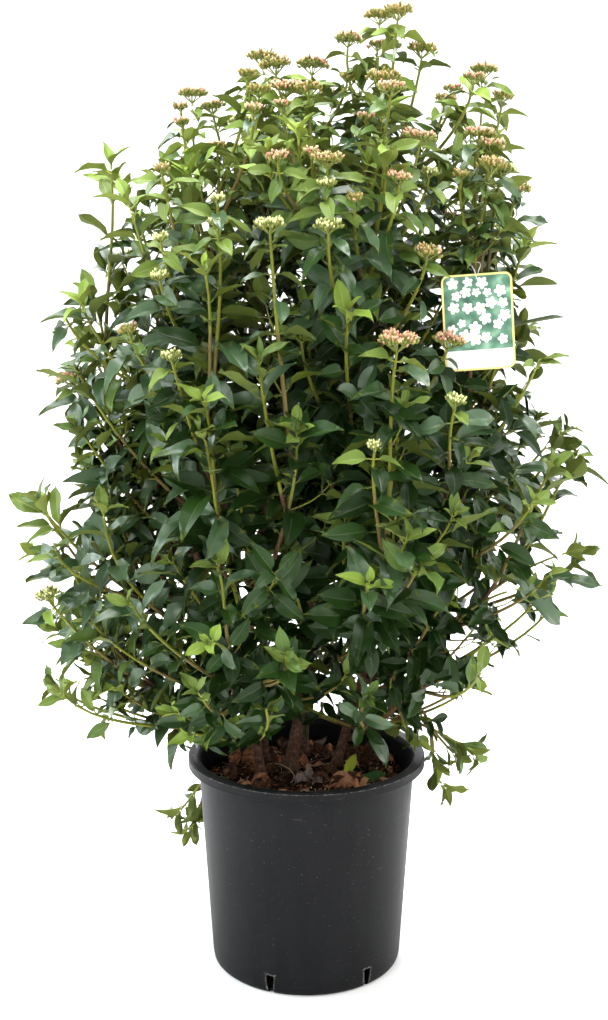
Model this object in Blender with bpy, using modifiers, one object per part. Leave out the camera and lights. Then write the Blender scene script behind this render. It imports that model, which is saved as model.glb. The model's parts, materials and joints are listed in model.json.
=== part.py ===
"""A potted laurustinus: a bushy evergreen flowering shrub in a black nursery pot.

Five stems rise from the compost and lean apart like a vase. Each runs up through the crown to a top
mass of foliage. Eighteen boughs leave them for the upper, middle and lower rings of foliage, and
three short ones for the skirt that hangs over the rim. Every mass grows by one rule: a leader shoot
with opposite side twigs, each pair turned a quarter from the last, and opposite leaves on them all.

Metres, +Z up. The origin is the middle of the pot's underside, and the viewer stands towards -Y.
"""

import random
from math import atan2, cos, exp, pi, radians, sin, sqrt

import bmesh
import bpy
import numpy as np
from mathutils import Matrix, Quaternion, Vector, noise
from mathutils.bvhtree import BVHTree

# The nursery pot, of about 15 litres
POT_HEIGHT = 0.272
RIM_RADIUS = 0.150
RIM_OVERHANG = 0.0125
RIM_DROP = 0.0115
BASE_RADIUS = 0.120
BASE_ROUND = 0.007
POT_WALL = 0.0022
POT_FLOOR = 0.003
POT_SIDES = 36
NOTCH_COUNT = 6
NOTCH_FIRST_ANGLE = radians(-111.7)
NOTCH_HEIGHT = 0.025
NOTCH_TOP_WIDTH = 0.011
NOTCH_FOOT_WIDTH = 0.006
NOTCH_DEPTH = 0.014

# The compost, with a level patch in the middle that the stems stand on
SOIL_EDGE_LEVEL = 0.236
SOIL_LEVEL = 0.243
SOIL_LEVEL_PATCH = 0.080
SOIL_ROUGHNESS = 0.004

# The crown: an egg, widest above the pot's rim by about its own radius
CROWN_REACH = 0.365
CROWN_WAIST = 0.545
CROWN_TOP = 1.185
CROWN_FOOT = 0.255

# The stems: where each foot stands (across, deep), its radius, and its furthest tip
STEMS = {
    "centre": ((-0.020, 0.018), 0.0080, (0.085, 0.000, 1.176)),
    "left": ((-0.056, 0.046), 0.0062, (-0.053, 0.030, 1.134)),
    "right": ((0.040, 0.032), 0.0056, (0.211, 0.020, 1.118)),
    "far_left": ((-0.058, -0.008), 0.0055, (-0.135, 0.000, 1.088)),
    "back": ((-0.004, 0.068), 0.0060, (0.030, 0.130, 1.100)),
}
ROOT_FLARE = 0.45
ROOT_FLARE_HEIGHT = 0.014

# The rings of foliage: how many masses, the first one's bearing, their tips' reach and height,
# how high their boughs leave the stems, the boughs' radius, and how steeply the leaders end
RINGS = {
    "upper": dict(count=7, bearing=180, reach=0.260, height=0.955, foot=0.430, radius=0.0046, rise=1.6),
    "middle": dict(count=6, bearing=208, reach=0.315, height=0.760, foot=0.350, radius=0.0044, rise=1.0),
    "lower": dict(count=5, bearing=180, reach=0.350, height=0.535, foot=0.296, radius=0.0040, rise=0.35),
}
# The masses that stand out of their ring, and their furthest tips (across, deep, up)
OUTSTANDING = {
    "upper_1": (-0.239, 0.000, 1.004),
    "upper_2": (-0.132, -0.150, 1.000),
    "upper_3": (0.070, -0.175, 1.010),
    "upper_4": (0.200, -0.184, 0.995),
    "upper_5": (0.264, 0.030, 0.917),
    "middle_1": (-0.289, -0.060, 0.755),
    "middle_3": (0.190, -0.235, 0.700),
    "middle_4": (0.328, -0.010, 0.700),
    "lower_1": (-0.371, 0.000, 0.540),
    "lower_4": (0.352, -0.050, 0.552),
}
# Leaders that end more upright than the rest of their ring
UPRIGHT = {"upper_4": 3.4}
# The skirt: the masses that hang out over the rim, their furthest tips, how high each leader
# leaves its stem, and how steeply it ends
SKIRT = {
    "skirt_left": dict(tip=(-0.316, -0.070, 0.372), foot=0.278, rise=-0.3),
    "skirt_right": dict(tip=(0.240, -0.010, 0.262), foot=0.285, rise=-0.5),
    "skirt_back": dict(tip=(-0.168, 0.185, 0.080), foot=0.330, rise=-1.6),
}
# How far the last leaves or the flower head reach past the end of a leader
TIP_REACH = {"top": 0.028, "upper": 0.034, "middle": 0.040, "lower": 0.046, "skirt": 0.040}
# How much of each leader is foliage at the least
MASS_LENGTH = 0.185
SKIRT_RADIUS = 0.0034
BOUGH_TIP_RADIUS = 0.0027
JOINT_STRAIGHT = 0.007
LIMB_STEP = 0.070

# The shoots and leaves, which are larger than life here because there are fewer of them
TWIG_RADIUS = 0.0022
TWIG_TIP_RADIUS = 0.0012
NODE_SPACING = 0.062
TWIG_LENGTH = 0.115
LEAF_LENGTH = 0.108
LEAF_WIDTH_SHARE = 0.56
LEAF_SHORTEST = 0.055
# A mass with fewer leaves than this gets single leaves where its twigs have room
FEWEST_LEAVES = 16
FILLING_TRIES = 120
FLOWER_RADIUS = 0.027
FLOWER_DEPTH = 0.017
# How far past the crown's egg a side twig or a leaf may reach
TWIG_SLACK = -0.010
LEAF_SLACK = 0.014
TIP_SLACK = 0.040

# The plant label, which hangs by its tie on the upper leader at the front right
LABEL_LEADER = "upper_4"
LABEL_HANG_HEIGHT = 0.885
LABEL_WIDTH = 0.077
LABEL_HEIGHT = 0.104
LABEL_THICKNESS = 0.0008
LABEL_CORNER = 0.008
LABEL_TURN = radians(-4)
LABEL_HOLE_RADIUS = 0.0022
LABEL_HOLE_INSET = 0.007
LABEL_HOLE_SIDES = 10
LABEL_FORWARD = 0.0100
LABEL_DROP = 0.0190
# How far past the card's edges foliage leaves the view of it free
CARD_MARGIN = 0.004
TIE_WRAP = 0.0044
TIE_RADIUS = 0.0006

# Clearances
GAP = 0.0003
SPACE_MARGIN = 0.0015
TIP_ROOM = 0.022
LEAST_ROOM = 0.007
SETTLING_ROUNDS = 300
LIMB_MARGIN = 0.0012
# Leaves are kept apart from one another beyond their roots, which meet in the shoot
BLADE_INSET = 0.4
ROOT_REACH = 0.006
WELD = 0.000001
SEED = 41

POT_BLACK = (0.022, 0.023, 0.025)
SOIL_BROWN = (0.045, 0.026, 0.016)
BARK_BROWN = (0.110, 0.060, 0.034)
LEAF_GREENS = ((0.035, 0.085, 0.030), (0.045, 0.105, 0.032), (0.060, 0.130, 0.036), (0.028, 0.070, 0.032))
LABEL_GREEN = (0.20, 0.34, 0.17)
TIE_WHITE = (0.75, 0.76, 0.74)

scene = bpy.context.scene


# Scene, materials and objects
def clear_scene():
    for thing in list(bpy.data.objects):
        bpy.data.objects.remove(thing, do_unlink=True)


def new_collection(name):
    collection = bpy.data.collections.new(name)
    scene.collection.children.link(collection)
    return collection


def make_material(name, colour, roughness, metallic=0.0):
    material = bpy.data.materials.new(name)
    material.use_nodes = True
    shader = material.node_tree.nodes["Principled BSDF"]
    shader.inputs["Base Color"].default_value = (*colour, 1.0)
    shader.inputs["Roughness"].default_value = roughness
    shader.inputs["Metallic"].default_value = metallic
    return material


def make_object(name, data, collection, material=None):
    thing = bpy.data.objects.new(name, data)
    collection.objects.link(thing)
    if material is not None:
        data.materials.clear()
        data.materials.append(material)
    return thing


def finish_mesh(work, name):
    """Turn a bmesh into a mesh whose faces all point out."""
    bmesh.ops.recalc_face_normals(work, faces=work.faces)
    mesh = bpy.data.meshes.new(name)
    work.to_mesh(mesh)
    work.free()
    return mesh


def evaluated_mesh(thing):
    """The mesh that an object shows with its bevel or modifiers, as new data."""
    bpy.context.view_layer.update()
    shown = thing.evaluated_get(bpy.context.evaluated_depsgraph_get())
    return bpy.data.meshes.new_from_object(shown)


def welded_mesh(thing):
    """The same, with the caps of a curve welded to its wall."""
    mesh = evaluated_mesh(thing)
    work = bmesh.new()
    work.from_mesh(mesh)
    bmesh.ops.remove_doubles(work, verts=work.verts, dist=0.00001)
    work.to_mesh(mesh)
    work.free()
    return mesh


def remove_object(thing):
    bpy.data.objects.remove(thing, do_unlink=True)


# Paths and limbs
def bezier(p0, p1, p2, p3, share):
    left = 1.0 - share
    return left ** 3 * p0 + 3 * left ** 2 * share * p1 + 3 * left * share ** 2 * p2 + share ** 3 * p3


def curved_path(start, start_way, end, end_way, steps):
    """Points of a smooth curve that leaves start along start_way and comes in to end along end_way."""
    span = (end - start).length
    first = start + start_way.normalized() * span * 0.38
    last = end - end_way.normalized() * span * 0.36
    return [bezier(start, first, last, end, step / steps) for step in range(steps + 1)]


def path_lengths(points):
    """How far along the path each point lies."""
    lengths = [0.0]
    for here, there in zip(points, points[1:]):
        lengths.append(lengths[-1] + (there - here).length)
    return lengths


def point_along(points, distance):
    """The point and the direction at a distance along the path."""
    for here, there in zip(points, points[1:]):
        step = there - here
        if distance <= step.length:
            return here + step.normalized() * distance, step.normalized()
        distance -= step.length
    return points[-1].copy(), (points[-1] - points[-2]).normalized()


def sub_path(points, start, end, count):
    """Evenly spaced points of a path between two distances along it."""
    return [point_along(points, start + (end - start) * k / (count - 1))[0] for k in range(count)]


def tube_curve(name, points, radii, resolution, collection, material=None):
    """A tapering round limb: a poly curve with a bevel and filled caps."""
    curve = bpy.data.curves.new(name, "CURVE")
    curve.dimensions = "3D"
    curve.bevel_depth = 1.0
    curve.bevel_resolution = resolution
    curve.use_fill_caps = True
    spline = curve.splines.new("POLY")
    spline.points.add(len(points) - 1)
    for place, point, radius in zip(spline.points, points, radii):
        place.co = (*point, 1.0)
        place.radius = radius
    return make_object(name, curve, collection, material)


def tube_mesh(name, points, radii, resolution):
    """The same limb as a closed mesh."""
    curve = tube_curve(name + "_curve", points, radii, resolution, scene.collection)
    mesh = welded_mesh(curve)
    remove_object(curve)
    mesh.name = name
    return mesh


def swept_prism(points, radii, sides=3):
    """A tapering twig of a few flat sides along a bent line, closed by a cap at each end."""
    work = bmesh.new()
    way = (points[1] - points[0]).normalized()
    turn = way.to_track_quat("Z", "X")
    place = Matrix.Translation(points[0]) @ turn.to_matrix().to_4x4()
    bmesh.ops.create_circle(work, cap_ends=True, segments=sides, radius=radii[0], matrix=place)
    cap = work.faces[:][0]
    centre, radius = points[0], radii[0]
    for index in range(1, len(points)):
        ahead = points[min(index + 1, len(points) - 1)] - points[index - 1]
        bend = way.rotation_difference(ahead.normalized())
        way = ahead.normalized()
        grown = bmesh.ops.extrude_face_region(work, geom=[cap])["geom"]
        if index > 1:
            bmesh.ops.delete(work, geom=[cap], context="FACES_ONLY")
        cap = next(item for item in grown if isinstance(item, bmesh.types.BMFace))
        for vert in cap.verts:
            arm = bend @ (vert.co - centre)
            vert.co = points[index] + arm * (radii[index] / radius)
        centre, radius = points[index], radii[index]
    return finish_mesh(work, "twig")


def limb_taper(lengths, foot_radius, tip_radius, flare=0.0):
    """A radius for each point: an even taper, with the root flare added at the foot."""
    whole = lengths[-1]
    return [
        foot_radius + (tip_radius - foot_radius) * length / whole
        + foot_radius * flare * exp(-length / ROOT_FLARE_HEIGHT)
        for length in lengths
    ]


# The pot and the compost
def wall_radius(height):
    """Outer radius of the pot's tapering wall."""
    top_radius = RIM_RADIUS - RIM_OVERHANG
    return BASE_RADIUS + (top_radius - BASE_RADIUS) * height / POT_HEIGHT


def turned(name, profile, sides, collection, material=None):
    """A turned solid. The profile (radius, height) runs down the outer side of the wall."""
    mesh = bpy.data.meshes.new(name)
    edges = [(k, k + 1) for k in range(len(profile) - 1)]
    mesh.from_pydata([(radius, 0.0, height) for radius, height in profile], edges, [])
    thing = make_object(name, mesh, collection, material)
    screw = thing.modifiers.new("Turn", "SCREW")
    screw.steps = sides
    screw.render_steps = sides
    screw.use_merge_vertices = True
    screw.merge_threshold = 0.0001
    return thing


def quarter_arc(centre_radius, centre_height, radius, first_angle, steps):
    """Points of a quarter turn clockwise from first_angle, for the rounding at the pot's base."""
    angles = [first_angle - pi / 2 * k / steps for k in range(steps + 1)]
    return [(centre_radius + radius * cos(a), centre_height + radius * sin(a)) for a in angles]


def make_pot(collection, guides, material):
    """A tapering shell with a turned-down rim, a rounded foot and notches cut at its base."""
    foot_top = POT_FLOOR + 0.006
    inner_foot = wall_radius(foot_top) - POT_WALL
    wall_top = wall_radius(POT_HEIGHT - POT_WALL)
    profile = [
        (0.0, POT_FLOOR),
        (inner_foot - 0.006, POT_FLOOR),
        (inner_foot, foot_top),
        (wall_radius(POT_HEIGHT - 0.002) - POT_WALL, POT_HEIGHT - 0.002),
        (wall_top + 0.001, POT_HEIGHT),
        (RIM_RADIUS - 0.0015, POT_HEIGHT),
        (RIM_RADIUS, POT_HEIGHT - 0.0018),
        (RIM_RADIUS, POT_HEIGHT - RIM_DROP),
        (RIM_RADIUS - POT_WALL, POT_HEIGHT - RIM_DROP),
        (RIM_RADIUS - POT_WALL, POT_HEIGHT - POT_WALL),
        (wall_top, POT_HEIGHT - POT_WALL),
    ]
    profile += quarter_arc(BASE_RADIUS - BASE_ROUND, BASE_ROUND, BASE_ROUND, 0.0, 2)
    profile.append((0.0, 0.0))
    pot = turned("pot", profile, POT_SIDES, collection, material)
    for number in range(NOTCH_COUNT):
        cut = pot.modifiers.new(f"Notch {number + 1}", "BOOLEAN")
        cut.operation = "DIFFERENCE"
        cut.object = make_notch_cutter(number, guides)
    return pot


def make_notch_cutter(number, guides):
    """A drainage notch: a slot through the wall that narrows towards the pot's underside."""
    work = bmesh.new()
    bmesh.ops.create_cube(work, size=1.0)
    for vert in work.verts:
        width = NOTCH_TOP_WIDTH if vert.co.z > 0 else NOTCH_FOOT_WIDTH
        vert.co.y *= width
        vert.co.x *= NOTCH_DEPTH
        vert.co.z = NOTCH_HEIGHT if vert.co.z > 0 else -0.002
    cutter = make_object(f"notch_cutter_{number + 1}", finish_mesh(work, "notch"), guides)
    bearing = NOTCH_FIRST_ANGLE + 2 * pi * number / NOTCH_COUNT
    cutter.location = (BASE_RADIUS * cos(bearing), BASE_RADIUS * sin(bearing), 0.0)
    cutter.rotation_euler = (0.0, 0.0, bearing)
    cutter.hide_render = True
    cutter.display_type = "WIRE"
    return cutter


def make_soil(collection, material):
    """The compost that fills the pot, level where the stems stand and rough towards the wall."""
    def fill_radius(height):
        return wall_radius(height) - POT_WALL - GAP

    bottom = POT_FLOOR + GAP
    rings = (SOIL_LEVEL_PATCH, 0.098, 0.116)
    profile = [(0.0, SOIL_LEVEL)]
    profile += [(radius, SOIL_LEVEL) for radius in rings]
    profile += [
        (fill_radius(SOIL_EDGE_LEVEL), SOIL_EDGE_LEVEL),
        (fill_radius(bottom + 0.007), bottom + 0.007),
        (fill_radius(bottom) - 0.007, bottom),
        (0.0, bottom),
    ]
    shape = turned("soil_shape", profile, POT_SIDES, scene.collection)
    mesh = welded_mesh(shape)
    remove_object(shape)
    rim = fill_radius(SOIL_EDGE_LEVEL)
    for vert in mesh.vertices:
        radius = sqrt(vert.co.x ** 2 + vert.co.y ** 2)
        if vert.co.z > SOIL_EDGE_LEVEL - 0.001 and radius > SOIL_LEVEL_PATCH + 0.001:
            share = (radius - SOIL_LEVEL_PATCH) / (rim - SOIL_LEVEL_PATCH)
            bump = noise.noise(Vector(vert.co) * 45.0) * SOIL_ROUGHNESS
            drop = (SOIL_LEVEL - SOIL_EDGE_LEVEL) * share
            vert.co.z = SOIL_LEVEL - drop + min(bump, 0.8 * drop) - 0.0004
    return make_object("soil", mesh, collection, material)


# The plant's frame: which path each leader follows
def stem_leaders():
    """Each stem's whole path, from its level cut on the compost to its leader's tip."""
    leaders = {}
    for name, (foot, radius, tip) in STEMS.items():
        start = Vector((*foot, SOIL_LEVEL + GAP))
        tip = Vector(tip)
        lean = Vector((tip.x - start.x, tip.y - start.y, 0.0))
        end_way = (Vector((0, 0, 1)) + lean * 0.25).normalized()
        first = curved_path(start + Vector((0, 0, 0.006)), Vector((0, 0, 1)) + lean * 1.6,
                            tip - end_way * TIP_REACH["top"], end_way, 30)
        leaders["top_" + name] = dict(points=[start] + first, radius=radius, parent=None)
    return leaders


def ring_tip(ring_name, number):
    """The furthest tip of a ring's mass: its place in the ring, or its own where it stands out."""
    ring = RINGS[ring_name]
    name = f"{ring_name}_{number + 1}"
    bearing = radians(ring["bearing"] + 360.0 * number / ring["count"])
    wave = 1.0 + 0.05 * sin(number * 2.4)
    tip = Vector((ring["reach"] * wave * cos(bearing), ring["reach"] * wave * sin(bearing),
                  ring["height"] + 0.03 * cos(number * 2.4)))
    return name, Vector(OUTSTANDING.get(name, tip))


def samples(points, radii, spacing=0.006):
    """Closely spaced points and radii along a limb, to measure clearances with."""
    lengths = path_lengths(points)
    count = max(int(lengths[-1] / spacing), 2)
    places = [lengths[-1] * k / count for k in range(count + 1)]
    dots = np.array([point_along(points, place)[0] for place in places])
    return dots, np.interp(places, lengths, radii), np.array(places)


def limb_clearance(dots, widths, others):
    """The least room between one limb and the others, from surface to surface."""
    least = 1.0
    for other_dots, other_widths in others:
        apart = np.linalg.norm(dots[:, None, :] - other_dots[None, :, :], axis=2)
        least = min(least, float((apart - widths[:, None] - other_widths[None, :]).min()))
    return least


def branch_leader(name, tip, foot_height, radius, rise, leaders):
    """A leader that leaves the nearest stem, at the height near foot_height that is clearest."""
    outward = Vector((tip.x, tip.y, 0.0)).normalized()
    end_way = (outward + Vector((0, 0, rise))).normalized()
    end = tip - end_way * TIP_REACH[name.split("_")[0]]
    best = None
    for stem_name in [key for key in leaders if key.startswith("top_")]:
        stem = leaders[stem_name]
        for shift in (0.0, 0.016, -0.014, 0.032, 0.048, 0.066, -0.026):
            height = max(foot_height + shift, SOIL_LEVEL + 0.030)
            start, along = point_at_height(stem["points"], height)
            detour = (end - start).xy.length
            sweep = curved_path(start, along * 0.55 + outward, end, end_way, 18)
            radii = limb_taper(path_lengths(sweep), radius, BOUGH_TIP_RADIUS)
            dots, widths, places = samples(sweep, radii)
            clear, beyond = places > stem["radius"], places > 0.045
            room = min(
                limb_clearance(dots[beyond], widths[beyond], [stem["samples"]]),
                limb_clearance(dots[clear], widths[clear], [
                    other["samples"] for key, other in leaders.items() if key != stem_name]))
            score = detour + 0.4 * abs(shift) + (10.0 if room < 0.0035 else 0.0) - min(room, 0.01)
            if best is None or score < best[0]:
                best = (score, sweep, radii, stem_name, room)
    leaders[name] = dict(points=best[1], radius=radius, parent=best[3])
    return best[4]


def point_at_height(points, height):
    for here, there in zip(points, points[1:]):
        if here.z <= height <= there.z:
            share = (height - here.z) / (there.z - here.z)
            return here.lerp(there, share), (there - here).normalized()
    raise ValueError("the path does not reach this height")


def note_samples(leader):
    radii = limb_taper(path_lengths(leader["points"]), leader["radius"], BOUGH_TIP_RADIUS)
    dots, widths, _ = samples(leader["points"], radii)
    leader["samples"] = (dots, widths)


def plan_leaders():
    """Every leader of the plant by name: the five stems', the rings' and the skirt's."""
    leaders = stem_leaders()
    for leader in leaders.values():
        note_samples(leader)
    for ring_name, ring in RINGS.items():
        for number in range(ring["count"]):
            name, tip = ring_tip(ring_name, number)
            foot = ring["foot"] + 0.030 * sin(number * 2.4)
            rise = UPRIGHT.get(name, ring["rise"])
            room = branch_leader(name, tip, foot, ring["radius"], rise, leaders)
            note_samples(leaders[name])
            print(f"{name}: on {leaders[name]['parent']}, room {room * 1000:.1f} mm")
    for name, row in SKIRT.items():
        tip = Vector(row["tip"])
        room = branch_leader(name, tip, row["foot"], SKIRT_RADIUS, row["rise"], leaders)
        note_samples(leaders[name])
        print(f"{name}: on {leaders[name]['parent']}, room {room * 1000:.1f} mm")
    return leaders


# The spaces: each mass keeps to the part of the crown round its own heart
def plan_spaces(leaders):
    """The heart of each mass, its share of the room, and how far along its leader it begins."""
    for leader in leaders.values():
        leader["length"] = path_lengths(leader["points"])[-1]
        leader["heart"] = leader["points"][-1]
        leader["weight"] = 0.0
    settle_weights(leaders)
    for name, leader in leaders.items():
        place = leader["length"]
        while place > 0.2 * leader["length"] and room_in_space(
                point_along(leader["points"], place)[0], name, leaders) > LEAST_ROOM - 0.001:
            place -= 0.004
        leader["begin"] = place + 0.004
        room, rival = least_room(leader["points"][-1], name, leaders)
        print(f"{name}: tip room {room * 1000:.0f} mm to {rival}, weight {leader['weight']:.4f}, "
              f"foliage {(leader['length'] - leader['begin']) * 1000:.0f} mm")


def settle_weights(leaders):
    """Give each mass more or less room until every leader ends well inside its own mass."""
    for _ in range(SETTLING_ROUNDS):
        for name, leader in leaders.items():
            for back, wanted in ((0.0, TIP_ROOM), (MASS_LENGTH, LEAST_ROOM)):
                point = point_along(leader["points"], leader["length"] - back)[0]
                room, rival = least_room(point, name, leaders)
                if room < wanted:
                    shift = (wanted - room) * 0.03
                    leader["weight"] += shift
                    leaders[rival]["weight"] -= shift


def least_room(point, name, leaders):
    """How far inside its space a point lies, and the neighbour whose side is nearest."""
    own = leaders[name]
    best = (10.0, None)
    for other_name, other in leaders.items():
        if other_name == name:
            continue
        across = other["heart"] - own["heart"]
        nearer = (point - other["heart"]).length_squared - (point - own["heart"]).length_squared
        room = (nearer + own["weight"] - other["weight"]) / (2 * across.length)
        if room < best[0]:
            best = (room, other_name)
    return best


def room_in_space(point, name, leaders):
    return least_room(point, name, leaders)[0]


def in_space(point, name, leaders):
    return room_in_space(point, name, leaders) > SPACE_MARGIN


def crown_reach(height):
    """The crown's radius at a height: an egg of two half ellipses."""
    rise = CROWN_TOP - CROWN_WAIST if height > CROWN_WAIST else CROWN_WAIST - CROWN_FOOT
    share = min(abs(height - CROWN_WAIST) / rise, 1.0)
    return CROWN_REACH * sqrt(1.0 - share ** 2)


def in_crown(point, slack):
    return sqrt(point.x ** 2 + point.y ** 2) <= crown_reach(point.z) + slack


# Leaves, flower heads and twigs
def leaf_mesh(length, ridge, droop):
    """A leaf of six faces: a low pyramid drawn out to a pointed oval, ridged along its middle."""
    work = bmesh.new()
    bmesh.ops.create_cone(work, cap_ends=True, segments=4, radius1=1.0, radius2=0.0, depth=1.0)
    base = [vert for vert in work.verts if vert.co.z < 0]
    bmesh.ops.rotate(work, verts=base, matrix=Matrix.Rotation(base_turn(base), 3, "Z"))
    sides = []
    for vert in work.verts:
        along, across, up = round(vert.co.x), round(vert.co.y), vert.co.z > 0
        place = 0.44 if along == 0 else 0.5 + 0.5 * along
        lift = length * (ridge * up - droop * place ** 2)
        if across:
            sides.append(vert)
        vert.co = (place * length, across * length * LEAF_WIDTH_SHARE / 2, lift)
    bmesh.ops.connect_vert_pair(work, verts=sides)
    return finish_mesh(work, "leaf")


def base_turn(corners):
    """The turn that puts a square's first corner on the X axis."""
    return -atan2(corners[0].co.y, corners[0].co.x)


def flower_mesh(radius, depth, stalk):
    """A flower head: a shallow dome on a short spreading stalk, of six sides."""
    profile = [(0.0, stalk + depth), (radius * 0.66, stalk + depth * 0.86),
               (radius, stalk + depth * 0.35), (TWIG_TIP_RADIUS, 0.0), (0.0, -0.002)]
    shape = turned("flower_shape", profile, 6, scene.collection)
    mesh = welded_mesh(shape)
    remove_object(shape)
    return mesh


def leaf_frame(root, way, up, roll):
    """A place for a leaf: its length along way, its upper face towards up, then rolled."""
    side = up.cross(way).normalized()
    face = way.cross(side).normalized()
    matrix = Matrix((way, side, face)).transposed().to_4x4()
    matrix.translation = root
    return matrix @ Matrix.Rotation(roll, 4, "X")


class Mass:
    """One mass of foliage while it grows: its pieces, and the tests that keep it to its space."""

    def __init__(self, name, leaders, obstacles, card):
        self.name = name
        self.leaders = leaders
        self.obstacles = obstacles
        self.card = card
        self.pieces = []
        self.twigs = []
        self.blades = []
        self.leaves = 0
        self.in_egg = not name.startswith("skirt_")
        self.chance = random.Random(f"{SEED} {name}")

    def fits(self, mesh, slack, root=None):
        """Whether a piece keeps to its space, clear of the limbs and of the blades grown so far.

        A leaf or flower head, which has a root, is noted as a blade itself once it fits.
        """
        corners = [vert.co.copy() for vert in mesh.vertices]
        for corner in corners:
            if not in_space(corner, self.name, self.leaders):
                return False
            if self.in_egg and slack is not None and not in_crown(corner, slack):
                return False
            if self.card.hides(corner):
                return False
        faces = [tuple(face.vertices) for face in mesh.polygons]
        if BVHTree.FromPolygons(corners, faces).overlap(self.obstacles):
            return False
        if root is not None:
            middle = sum(corners, Vector()) / len(corners)
            corners = [corner.lerp(middle, BLADE_INSET * ((corner - root).length < ROOT_REACH))
                       for corner in corners]
        blade = BVHTree.FromPolygons(corners, faces)
        if any(blade.overlap(other) for other in self.blades):
            return False
        if root is not None:
            self.blades.append(blade)
        return True

    def add_twig(self, points, radii, slack):
        mesh = swept_prism(points, radii)
        if not self.fits(mesh, slack):
            bpy.data.meshes.remove(mesh)
            return False
        self.pieces.append(mesh)
        self.twigs.append(points)
        return True

    def add_leaf(self, root, way, up, length, slack):
        """Set a leaf, turned or shortened until it keeps to the space, or leave it out."""
        ridge = self.chance.uniform(0.035, 0.060)
        droop = self.chance.uniform(0.06, 0.24)
        for size in (1.0, 0.84, 0.68):
            for turn in (0.0, 0.45, -0.45, 0.9, -0.9):
                if length * size < LEAF_SHORTEST:
                    continue
                turned_way = Quaternion(up, turn) @ way
                mesh = leaf_mesh(length * size, ridge, droop)
                mesh.transform(leaf_frame(root, turned_way, up, self.chance.uniform(-0.4, 0.4)))
                if self.fits(mesh, slack, root):
                    self.pieces.append(mesh)
                    self.leaves += 1
                    return True
                bpy.data.meshes.remove(mesh)
        return False

    def add_pair(self, root, axis, turn, length, spread, slack):
        """Two opposite leaves at a node. spread is their angle from the shoot."""
        side = axis.orthogonal().normalized()
        for half in (0.0, pi):
            out = Quaternion(axis, turn + half) @ side
            way = (axis * cos(spread) + out * sin(spread)).normalized()
            way = (way + Vector((0, 0, -0.12))).normalized()
            up = (axis - way * axis.dot(way)).normalized()
            size = length * self.chance.uniform(0.88, 1.10)
            self.add_leaf(root - way * 0.0006, way, up, size, slack)

    def add_flower(self, root, axis):
        mesh = flower_mesh(FLOWER_RADIUS * self.chance.uniform(0.85, 1.1), FLOWER_DEPTH, 0.014)
        way = (axis + Vector((0, 0, 0.6))).normalized()
        mesh.transform(Matrix.Translation(root) @ way.to_track_quat("Z", "X").to_matrix().to_4x4())
        if self.fits(mesh, None, root):
            self.pieces.append(mesh)
        else:
            bpy.data.meshes.remove(mesh)


class CardView:
    """The room in front of the label card, which foliage leaves free so that the card shows."""

    def __init__(self, card):
        corners = [card.matrix_world @ Vector(corner) for corner in card.bound_box]
        self.low = Vector([min(corner[k] for corner in corners) for k in range(3)])
        self.high = Vector([max(corner[k] for corner in corners) for k in range(3)])

    def hides(self, point):
        return (self.low.x - CARD_MARGIN < point.x < self.high.x + CARD_MARGIN
                and self.low.z - CARD_MARGIN < point.z < self.high.z + CARD_MARGIN
                and point.y < self.high.y)


def leader_shoot(leader):
    """The leader's shoot in its mass, which starts straight on from its bough, face to face."""
    start, end = leader["begin"] + JOINT_STRAIGHT, leader["length"]
    bough = leader["tube"][0]
    on = (bough[-1] - bough[-2]).normalized()
    count = max(int((end - start) / 0.055), 3) + 1
    shoot = [bough[-1] + on * GAP] + sub_path(leader["points"], start, end, count)
    return shoot, limb_taper(path_lengths(shoot), BOUGH_TIP_RADIUS * 0.95, TWIG_TIP_RADIUS)


def grow_mass(name, leaders, obstacles, card):
    """Grow one mass: the leader's shoot, its side twigs in opposite pairs, and all their leaves."""
    mass = Mass(name, leaders, obstacles, card)
    flowering = name.startswith("top_") or name in ("upper_2", "upper_4", "upper_5", "upper_1")
    shoot, radii = leader_shoot(leaders[name])
    length_in_all = path_lengths(shoot)[-1]
    if not mass.add_twig(shoot, radii, None):
        print(f"{name}: the leader's shoot is not clear")
        mass.pieces.append(swept_prism(shoot, radii))
    nodes = max(int((length_in_all - 0.012) / NODE_SPACING), 2)
    turn = mass.chance.uniform(0, pi)
    for node in range(nodes):
        share = node / nodes
        root, axis = point_along(shoot, 0.018 + (length_in_all - 0.030) * share)
        turn += pi / 2
        length = LEAF_LENGTH * (1.0 - 0.22 * share)
        if share < 0.66:
            grow_side_twigs(mass, root, axis, turn, share, length)
        else:
            mass.add_pair(root, axis, turn, length, 0.95, LEAF_SLACK)
    tip, axis = point_along(shoot, length_in_all)
    if flowering:
        mass.add_flower(tip - axis * 0.002, axis)
    spread = 1.0 if flowering else 0.62
    mass.add_pair(tip - axis * 0.004, axis, turn + pi / 2, LEAF_LENGTH * 0.72, spread, TIP_SLACK)
    fill_mass(mass)
    return mass


def fill_mass(mass):
    """Single leaves here and there on the twigs of a mass that has few, where there is room."""
    chance = mass.chance
    for _ in range(FILLING_TRIES):
        if mass.leaves >= FEWEST_LEAVES:
            break
        twig = chance.choice(mass.twigs or [None])
        if twig is None:
            break
        root, axis = point_along(twig, chance.uniform(0.15, 1.0) * path_lengths(twig)[-1])
        out = Quaternion(axis, chance.uniform(0, 2 * pi)) @ axis.orthogonal().normalized()
        spread = chance.uniform(0.7, 1.3)
        way = (axis * cos(spread) + out * sin(spread)).normalized()
        up = (axis - way * axis.dot(way)).normalized()
        length = LEAF_LENGTH * chance.uniform(0.62, 0.90)
        mass.add_leaf(root - way * 0.0006, way, up, length, LEAF_SLACK + 0.010)


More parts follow.
